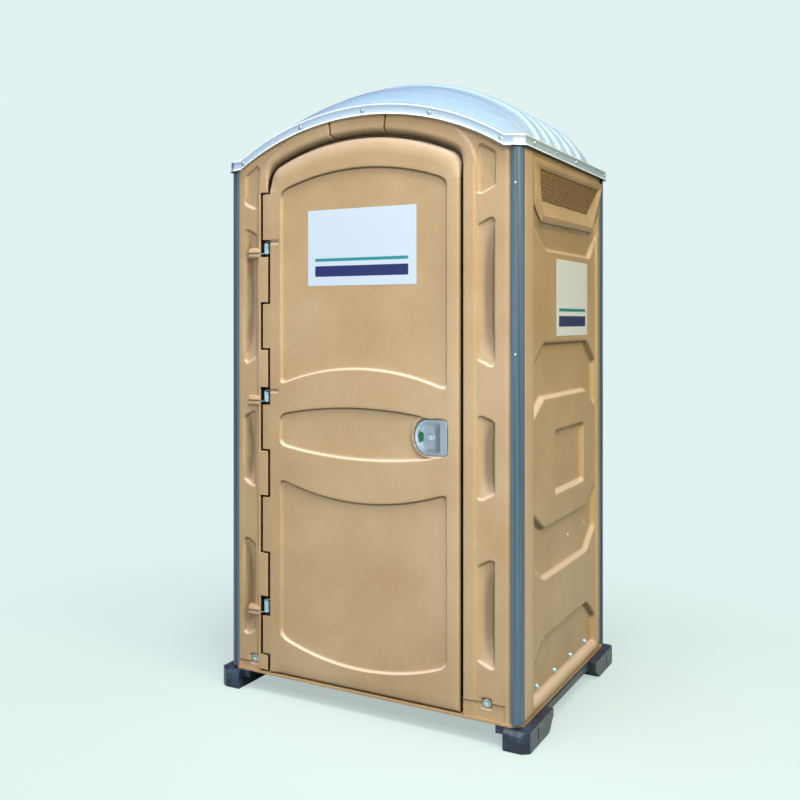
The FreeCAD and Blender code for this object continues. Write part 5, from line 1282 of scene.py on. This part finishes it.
# ---------------------------------------------------------------- roof
@dataclass
class Roof:
    """The formed roof: an arched flange all round and a hooped dome over it."""

    half_width: float = 562.5
    half_depth: float = 572.5
    side_top: float = 2014.0
    crest: float = 2166.0
    dome_crest: float = 2301.0
    shoulder: float = 430.0
    shoulder_height: float = 2152.0
    hoop: float = 10.0
    corner: float = 30.0
    dome_foot: float = 513.0
    spill: float = 7.0
    blend: float = 5.0
    rivet_drop: float = 19.0
    top_share: float = 0.86
    dome_share: float = 0.94
    hoops: tuple = (-225.0, 485.0)
    skin: float = 3.5
    front: tuple = ((-0.995, 0.0), (-0.9, 0.24), (-0.76, 0.52), (-0.6, 0.76), (-0.43, 0.92), (-0.27, 1.0))
    back: tuple = ((0.8, 1.0), (0.9, 0.86), (0.96, 0.55), (0.995, 0.0))
    border: tuple = ((1.6, 0.9), (2.2, 2.6), (1.6, 4.6), (1.0, 6.5), (1.0, 30.0), (2.2, 31.5), (5.0, 34.0), (5.6, 35.5),
                     (5.6, 37.2), (4.6, 38.0))
    # Border layer for each ring of the skirt: 1 paints the white highlight, 0.5 gives the flange's own tone.
    border_highlight: tuple = (1.0, 1.0, 0.9, 0.5, 0.5, 0.9, 1.0, 1.0, 1.0, 1.0)

    def rise(self, along: np.ndarray) -> np.ndarray:
        """Share of the dome's height at each place along the cabin, with its corners eased."""
        table = np.array([(-1.0, 0.0)] + list(self.front) + list(self.back) + [(1.0, 0.0)])
        fine = np.linspace(-self.half_depth, self.half_depth, 1146)
        raw = np.interp(fine / HALF_DEPTH, table[:, 0], table[:, 1])
        kernel = np.hanning(61)
        eased_rise = np.convolve(np.pad(raw, 30, mode="edge"), kernel / kernel.sum(), mode="valid")
        return np.interp(along, fine, np.minimum(eased_rise, 1.0))

    def raised(self, along: np.ndarray) -> np.ndarray:
        """Height share of the five hoops: each rises steeply from the one before and falls slowly to the next."""
        start, end = self.hoops
        pitch = (end - start) / 5
        place = (along - start) % pitch / pitch
        ramp = eased(place / 0.14) * (1 - eased((place - 0.25) / 0.75, 0.5))
        return np.where((along > start) & (along < end), ramp, 0.0)

    def widths(self, along: np.ndarray) -> tuple[np.ndarray, np.ndarray]:
        """Half widths of the dome at its shoulder and at its foot."""
        spill = self.spill * self.raised(along)
        return ARCH_HALF + (self.shoulder - ARCH_HALF) * self.rise(along) + spill, self.dome_foot + spill

    def height(self, x: np.ndarray, y: np.ndarray) -> np.ndarray:
        """The higher of the flange's arch and the dome's hooped section, blended over a few millimetres."""
        flange = arc(x, 0, ARCH_HALF, self.side_top, self.crest)
        rise, hoop = self.rise(y), self.raised(y)
        shoulder, foot = self.widths(y)
        level = self.side_top + (self.shoulder_height - self.side_top) * rise + self.spill * hoop
        crest = self.crest + (self.dome_crest - self.crest) * rise + self.hoop * hoop
        lift = np.maximum(crest - level, 1.0)
        radius = (shoulder ** 2 + lift ** 2) / (2 * lift)
        top = crest - radius + np.sqrt(np.maximum(radius ** 2 - np.minimum(np.abs(x), shoulder) ** 2, 0))
        fall = (np.abs(x) - shoulder) / np.maximum(foot - shoulder, 1.0)
        full = 0.5 * (1 - fall) + 0.5 * np.sqrt(1 - np.clip(fall, 0, 1) ** 2)
        flank = self.side_top - 6 + (level - self.side_top + 6) * np.where(fall > 1, 1 - fall, full)
        dome = np.where(np.abs(x) > shoulder, flank, top)
        return (flange + dome + np.sqrt((flange - dome) ** 2 + self.blend ** 2)) / 2 - self.blend / 2

    def build(self) -> list[Piece]:
        """Make the shell: the grid over the plan, then the skirt round its border."""
        ends = (0, 2, 5, 9, 14, 20, 27, 34)
        y = lines([sign * (self.half_depth - step) for sign in (-1, 1) for step in ends], 6.5)
        marks = (1.0, 0.99, 0.97, 0.955, self.dome_share, 0.925, 0.9, self.top_share)
        u = lines([sign * mark for sign in (-1, 1) for mark in marks], 0.018)
        reach = self.half_depth - self.corner
        over = np.clip(np.abs(y) - reach, 0, self.corner) / self.corner
        limit = self.half_width - self.corner * over
        shoulder, foot = (width[:, None] for width in self.widths(y))
        size = np.abs(u)[None]
        flank = shoulder + (foot - shoulder) * (size - self.top_share) / (self.dome_share - self.top_share)
        flange = foot + (limit[:, None] - 1 - foot) * (size - self.dome_share) / (1 - self.dome_share)
        x = np.where(size < self.top_share, size / self.top_share * shoulder,
                     np.where(size < self.dome_share, flank, flange))
        x = np.minimum(x, limit[:, None]) * np.sign(u)[None]
        ys = np.broadcast_to(y[:, None], x.shape)
        top = np.stack([x, ys, self.height(x, ys)], axis=-1)
        rows, columns = x.shape
        index = np.arange(rows * columns).reshape(rows, columns)
        border = np.concatenate([index[0, :-1], index[:-1, -1], index[-1, :0:-1], index[:0:-1, 0]])
        rim = top.reshape(-1, 3)[border]
        away = np.roll(rim, -1, axis=0) - np.roll(rim, 1, axis=0)
        normal = np.stack([away[:, 1], -away[:, 0]], axis=1)
        normal /= np.maximum(np.linalg.norm(normal, axis=1, keepdims=True), 1e-9)
        rings = [np.concatenate([rim[:, :2] + normal * out, rim[:, 2:] - down], axis=1) for out, down in self.border]
        chain = np.concatenate([border, rows * columns + np.arange(len(self.border) * len(border))])
        skirt = chain[ring_faces(1 + len(self.border), len(border))[:, [0, 3, 2, 1]]]
        points = np.concatenate([top.reshape(-1, 3), *rings])
        # The top's border is painted with the white highlight.
        pale = np.zeros(rows * columns)
        pale[border] = 1.0
        painted_highlight = np.concatenate([pale, np.repeat(self.border_highlight, len(border))])
        shell = new_piece("roof_shell", points, np.concatenate([sheet_faces((rows, columns)), skirt]), ROOF, "cabin",
                          smooth=60, stands_for=["roof"], painted_highlight=painted_highlight)
        thicken(shell, self.skin)
        return [shell, self.rivets()]

    def rivets(self) -> Piece:
        """Domed rivet heads round the flange, with their washers."""
        profile = ((7.6, 0), (7.6, 0.8), (5.4, 1.0), (5.0, 2.4), (3.4, 3.8), (1.4, 4.4), (0.1, 4.5))
        across, line = np.array([-491.0, -246.0, 0.0, 246.0, 491.0]), self.side_top - self.rivet_drop
        heights = arc(across, 0, ARCH_HALF, line, self.crest - self.rivet_drop)
        parts = [revolve(profile, (x, side * (self.half_depth + 1.0), z), (0, side, 0), 16)
                 for x, z in zip(across, heights) for side in (-1, 1)]
        parts += [revolve(profile, (side * (self.half_width + 1.0), y, line), (side, 0, 0), 16)
                  for y in (-449.0, -178.0, 87.0, 340.0, 535.0) for side in (-1, 1)]
        return new_piece("roof_rivet_heads", *joined(parts), STEEL, "cabin", stands_for=["roof_rivets"])


# ---------------------------------------------------------------- hinge, fasteners, plates and carried-over nodes
@dataclass
class HingeSprings:
    """Torsion springs on the hinge rod: the coil with its leg on the stile, and the leg on the door."""

    wire: float = 3.6
    coil: float = 8.6
    aside: float = 3.0
    clear: float = 3.9
    pitch: float = 4.1
    lead_end: float = -461.0
    leg_end: float = -343.0
    spans: tuple = ((1654.5, 1697.0), (1098.2, 1139.2), (303.2, 352.2))

    def build(self) -> list[Piece]:
        """Make the coils and the legs."""
        coils, leads, legs = [], [], []
        middle = HINGE_X - self.aside
        for start, end in self.spans:
            turns = max(6, round((end - start) / self.pitch))
            angle = np.linspace(-math.pi / 2, -math.pi / 2 + turns * 2 * math.pi, turns * 24 + 1)
            share = (angle - angle[0]) / (angle[-1] - angle[0])
            helix = np.stack([middle + self.coil * np.cos(angle), HINGE_Y + self.coil * np.sin(angle),
                              start + (end - start - self.clear) * share], axis=1)
            coils.append(tube(helix, self.wire / 2, 8))
            x = np.linspace(self.lead_end, middle, 12)
            y = HINGE_Y - self.coil - np.interp(x, (-430, middle), (8.0, 0.0))
            leads.append(tube(np.stack([x, y, np.full(12, start)], axis=1), self.wire / 2, 8))
            x = np.linspace(middle, self.leg_end, 9)
            tail = np.stack([x, np.full(9, HINGE_Y - self.coil), np.full(9, end)], axis=1)
            legs.append(tube(tail, self.wire / 2, 8))
        return [new_piece("spring_coils", *joined(coils), COIL_HIGHLIGHT, "cabin", stands_for=["hinge_springs"]),
                new_piece("spring_leads", *joined(leads), WIRE, "cabin"),
                new_piece("spring_door_legs", *joined(legs), WIRE, "door")]


@dataclass
class Fasteners:
    """Bolts at the foot of the walls, anchors of the frame and screws of the posts."""

    line: float = 142.0
    places: tuple = (-320.0, -107.0, 107.0, 320.0)
    side_seat: float = 532.0
    back_seat: float = 542.0
    nut_seat: float = -546.2
    screw: tuple[float, float] = (533.5, -564.3)
    screw_heights: tuple[float, float] = (1853.0, 1292.0)

    def build(self) -> list[Piece]:
        """Make the bolts with their washers, the anchors and the screws."""
        dome = ((14, 0), (14, 1.6), (9.5, 2.0), (9.3, 5.0), (8.0, 8.2), (5.2, 10.4), (1.8, 11.2), (0.1, 11.3))
        parts = [revolve(dome, place, out, 20) for y in self.places
                 for place, out in (((self.side_seat, y, self.line), (1, 0, 0)),
                                    ((-self.side_seat, y, self.line), (-1, 0, 0)),
                                    ((y, self.back_seat, self.line), (0, 1, 0)))]
        bolts = new_piece("wall_bolt_heads", *joined(parts), STEEL, "cabin", stands_for=["wall_bolts"])
        washer = ((12.5, 0), (12.5, 1.8), (8.8, 2.0))
        nut = ((8.6, 2.0), (8.6, 7.0), (7.2, 8.2), (4.2, 8.4), (4.0, 11.5), (3.2, 12.2), (0.1, 12.3))
        parts = [revolve(profile, (x, self.nut_seat, z), (0, -1, 0), sides)
                 for x, z in FrontFrame().anchors for profile, sides in ((washer, 24), (nut, 6))]
        anchors = new_piece("frame_anchor_nuts", *joined(parts), STEEL, "cabin", smooth=25,
                            stands_for=["frame_anchor_bolts"])
        head = ((4.2, 0), (4.0, 1.0), (2.6, 1.9), (0.1, 2.1))
        parts = [revolve(head, (*self.screw, z), (0, -1, 0), 12) for z in self.screw_heights]
        return [bolts, anchors, new_piece("post_screws", *joined(parts), STEEL, "cabin")]


@dataclass
class VinylPlate:
    """A thin printed film with rounded corners: pale, with two plain bars of colour near its foot."""

    name: str
    wall: Wall
    plane: float
    left: float
    right: float
    low: float
    high: float
    body: str
    film: Finish = VINYL
    thick: float = 0.6

    def strip(self, name: str, box: tuple[float, float, float, float], lift: float, finish: Finish) -> Piece:
        """One layer of film over a part of the plate, given as left, right, low and high shares."""
        a, b = self.left + (self.right - self.left) * box[0], self.left + (self.right - self.left) * box[1]
        c, d = self.low + (self.high - self.low) * box[2], self.low + (self.high - self.low) * box[3]
        points, faces = prism(Outline.box(a, b, c, d, 4.0).path(), self.plane - 0.2,
                              self.plane + self.thick + lift, lambda p, q, along: self.wall.place(p, along, q))
        return new_piece(name, points, faces, finish, self.body)

    def build(self) -> list[Piece]:
        """Make the film and its bars."""
        return [
            self.strip(self.name, (0, 1, 0, 1), 0.0, self.film),
            self.strip(self.name + "_bar_low", (0.07, 0.93, 0.12, 0.26), 0.15, INK_NAVY),
            self.strip(self.name + "_bar_high", (0.07, 0.93, 0.32, 0.36), 0.15, INK_TEAL),
        ]


class NodeCopy(Enum):
    """Solids whose copy, merged and with its edges rounded by so many millimetres, takes their place."""

    SKID_RIGHT = ("skid_right", 5.0)
    SKID_LEFT = ("skid_left", 5.0)
    POST_FRONT_RIGHT = ("corner_post_front_right", 1.0)
    POST_FRONT_LEFT = ("corner_post_front_left", 1.0)

    def build(self, finish: Finish) -> Piece:
        """Merge a copy of the node's loose triangles, join its flat faces and round its edges."""
        name, width = self.value
        node = frame["nodes"][name]
        mesh = node.data.copy()
        piece = put(name + "_soft", mesh)
        work = bmesh.new()
        work.from_mesh(mesh)
        bmesh.ops.remove_doubles(work, verts=work.verts, dist=0.00002)
        bmesh.ops.dissolve_limit(work, angle_limit=math.radians(1.0), verts=work.verts, edges=work.edges)
        work.to_mesh(mesh)
        work.free()
        mesh.materials.clear()
        mesh.materials.append(finish.material())
        smoothed(mesh, 30)
        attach(piece, node["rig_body"])
        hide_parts(name)
        bevel(piece, width, 4, 25)
        LOG.info("%s: copied", piece.name)
        return piece


CARRIED = {
    "roof": ROOF, "vent_screen_right": MESH, "vent_screen_left": MESH, "corner_post": POST, "skid": SKID,
    "floor_pan": SHELL_INSIDE, "tank_bench": SHELL_INSIDE, "waste_tank": SHELL_INSIDE, "door_inner_skin": SHELL_INSIDE,
    "urinal": FITTING, "urinal_drain": FITTING, "vent_pipe": FITTING, "vent_cap": FITTING, "paper_holder": FITTING,
    "paper_rod": FITTING, "toilet_seat": SEAT, "seat_lid": SEAT, "seat_hinge_pin": STEEL, "hinge_rod": OILED,
    "strike_pin": STEEL, "latch_spindle": STEEL, "latch_lever": CASTING, "hinge_springs": STEEL, "roof_rivets": STEEL,
    "wall_bolts": STEEL, "frame_anchor_bolts": STEEL, "indicator_disc": GREEN, "latch_plate": CASTING,
    "door_outer_skin": SHELL_INSIDE, "front_frame": SHELL_INSIDE, "side_panel": SHELL_INSIDE,
    "back_panel": SHELL_INSIDE,
}


def dress_nodes() -> None:
    """Give every solid of the frame its finish, by the longest name that its own begins with."""
    for name, node in frame["nodes"].items():
        best = max((key for key in CARRIED if name.startswith(key)), key=len)
        node.data.materials.clear()
        node.data.materials.append(CARRIED[best].material())
        smoothed(node.data, 32)


# ---------------------------------------------------------------- studio
@dataclass
class Studio:
    """Camera, plain pale floor, backdrop and soft lamps."""

    backdrop: str = "#e1f2f0"
    picture: float = 800.0
    sensor: float = 36.0
    focal: float = 1064.2
    centre: tuple[float, float] = (160.0, 320.4)
    eye: tuple[float, float, float] = (1.601, -4.062, 1.403)
    heading: float = 35.42

    def camera(self) -> None:
        """Place the camera at the photograph's viewing angle, from a focal length and centre in picture points."""
        data = bpy.data.cameras.new("camera")
        data.lens = self.focal / self.picture * self.sensor
        data.sensor_width = self.sensor
        data.shift_x = (self.picture / 2 - self.centre[0]) / self.picture
        data.shift_y = (self.centre[1] - self.picture / 2) / self.picture
        data.clip_end = 200
        camera = put("camera", data)
        camera.location = self.eye
        camera.rotation_euler = (math.radians(90), 0, math.radians(self.heading))
        bpy.context.scene.camera = camera

    def floor(self) -> None:
        """A wide floor in the backdrop's colour that keeps the object's shadow near it."""
        mesh = bpy.data.meshes.new("floor")
        size = 60.0
        mesh.from_pydata([(-size, -size, 0), (size, -size, 0), (size, size, 0), (-size, size, 0)], [], [(0, 1, 2, 3)])
        piece = put("floor", mesh)
        material = bpy.data.materials.new("studio floor, painted")
        to = self.blank(material, "ShaderNodeBsdfDiffuse", "Object")
        far = add(to.tree, "ShaderNodeVectorMath", {0: to.place}, operation="LENGTH").outputs["Value"]
        rays = add(to.tree, "ShaderNodeLightPath").outputs
        seen = to.maths("MULTIPLY", rays["Is Camera Ray"], to.spread(far, (0.9, 2.4), (0.55, 1.0)))
        lit = to.maths("MULTIPLY", rays["Is Diffuse Ray"], 0.9)
        to.feed("Color", to.blend(lit, linear("#bccbc9"), linear("#1c1a18")))
        glow = add(to.tree, "ShaderNodeEmission", {"Color": linear(self.backdrop), "Strength": 1.0})
        self.finish(to, seen, glow, "ShaderNodeOutputMaterial")
        mesh.materials.append(material)

    def world(self) -> None:
        """Soft light from all round, a little stronger from above, and the backdrop's colour for the camera."""
        world = bpy.data.worlds.new("studio")
        bpy.context.scene.world = world
        to = self.blank(world, "ShaderNodeBackground", "Generated")
        up = to.axis(to.place, "Z")
        height = to.spread(up, (-0.05, 0.25), (0.02, 0.16), interpolation_type="SMOOTHSTEP")
        above = to.maths("MULTIPLY", to.maths("POWER", to.maths("MAXIMUM", up, 0.0), 3.0), 1.1)
        rays = add(to.tree, "ShaderNodeLightPath").outputs
        direct = to.maths("MAXIMUM", rays["Is Camera Ray"], rays["Is Transmission Ray"])
        to.shader.inputs["Color"].default_value = linear("#f4f8ff")
        to.feed("Strength", to.maths("ADD", height, above))
        shown = add(to.tree, "ShaderNodeBackground", {"Color": linear(self.backdrop), "Strength": 1.0})
        self.finish(to, direct, shown, "ShaderNodeOutputWorld")

    def blank(self, owner: bpy.types.ID, kind: str, place: str) -> Pattern:
        """Empty the node tree of a material or a world and start it again with one shader."""
        owner.use_nodes = True
        tree = owner.node_tree
        tree.nodes.clear()
        return Pattern(tree, add(tree, kind), add(tree, "ShaderNodeTexCoord").outputs[place])

    def finish(self, to: Pattern, share: Socket, second: Node, kind: str) -> None:
        """Mix the pattern's shader with a second one and lead both to the output."""
        mixed = add(to.tree, "ShaderNodeMixShader", {0: share, 1: to.shader.outputs[0], 2: second.outputs[0]})
        add(to.tree, kind, {"Surface": mixed.outputs[0]})

    def lamp(self, name: str, place: Sequence[float], size: float, power: float, aim: Sequence[float],
             colour: str = "#ffffff") -> None:
        """A square lamp that faces a point."""
        data = bpy.data.lights.new(name, "AREA")
        data.size = size
        data.energy = power
        data.color = linear(colour)[:3]
        lamp = put(name, data)
        lamp.location = place
        lamp.rotation_euler = (Vector(aim) - Vector(place)).to_track_quat("-Z", "Y").to_euler()

    def build(self) -> None:
        """Set up everything that isn't the object."""
        self.camera()
        self.floor()
        self.world()
        self.lamp("lamp_front", (2.6, -4.4, 4.2), 1.7, 145.0, (0, 0, 1.0))
        self.lamp("lamp_top", (0.4, -1.8, 7.0), 2.4, 310.0, (0, -0.3, 1.1))
        self.lamp("lamp_right", (5.4, -2.0, 4.2), 2.2, 225.0, (0, 0, 1.0), "#ffea9e")
        self.lamp("lamp_low", (0.4, -5.2, 0.8), 1.8, 78.0, (0, 0, 0.4))
        bpy.context.scene.view_settings.view_transform = "Standard"


def main() -> None:
    """Build every piece in order."""
    logging.basicConfig(level=logging.INFO, format="%(message)s")
    Studio().build()
    dress_nodes()
    DoorSkin().build()
    Latch().build()
    FrontFrame().build()
    for panel in (WallPanel("side_panel_right", Wall.RIGHT, WALL_EDGE, HALF_WIDTH, True),
                  WallPanel("side_panel_left", Wall.LEFT, WALL_EDGE, HALF_WIDTH, True),
                  WallPanel("back_panel", Wall.BACK, FRAME_EDGE, HALF_DEPTH, False)):
        panel.build()
    Roof().build()
    HingeSprings().build()
    Fasteners().build()
    for copy in NodeCopy:
        copy.build(SKID if "skid" in copy.value[0] else POST)
    VinylPlate("door_film", Wall.FRONT, HALF_DEPTH - DoorSkin().field_depth, -224.1, 193.1, 1529, 1805, "door").build()
    VinylPlate("side_film", Wall.RIGHT, HALF_WIDTH - 6.0, -131, 300, 1347, 1624, "cabin", VINYL_PALE).build()


if __name__ == "__main__":
    main()
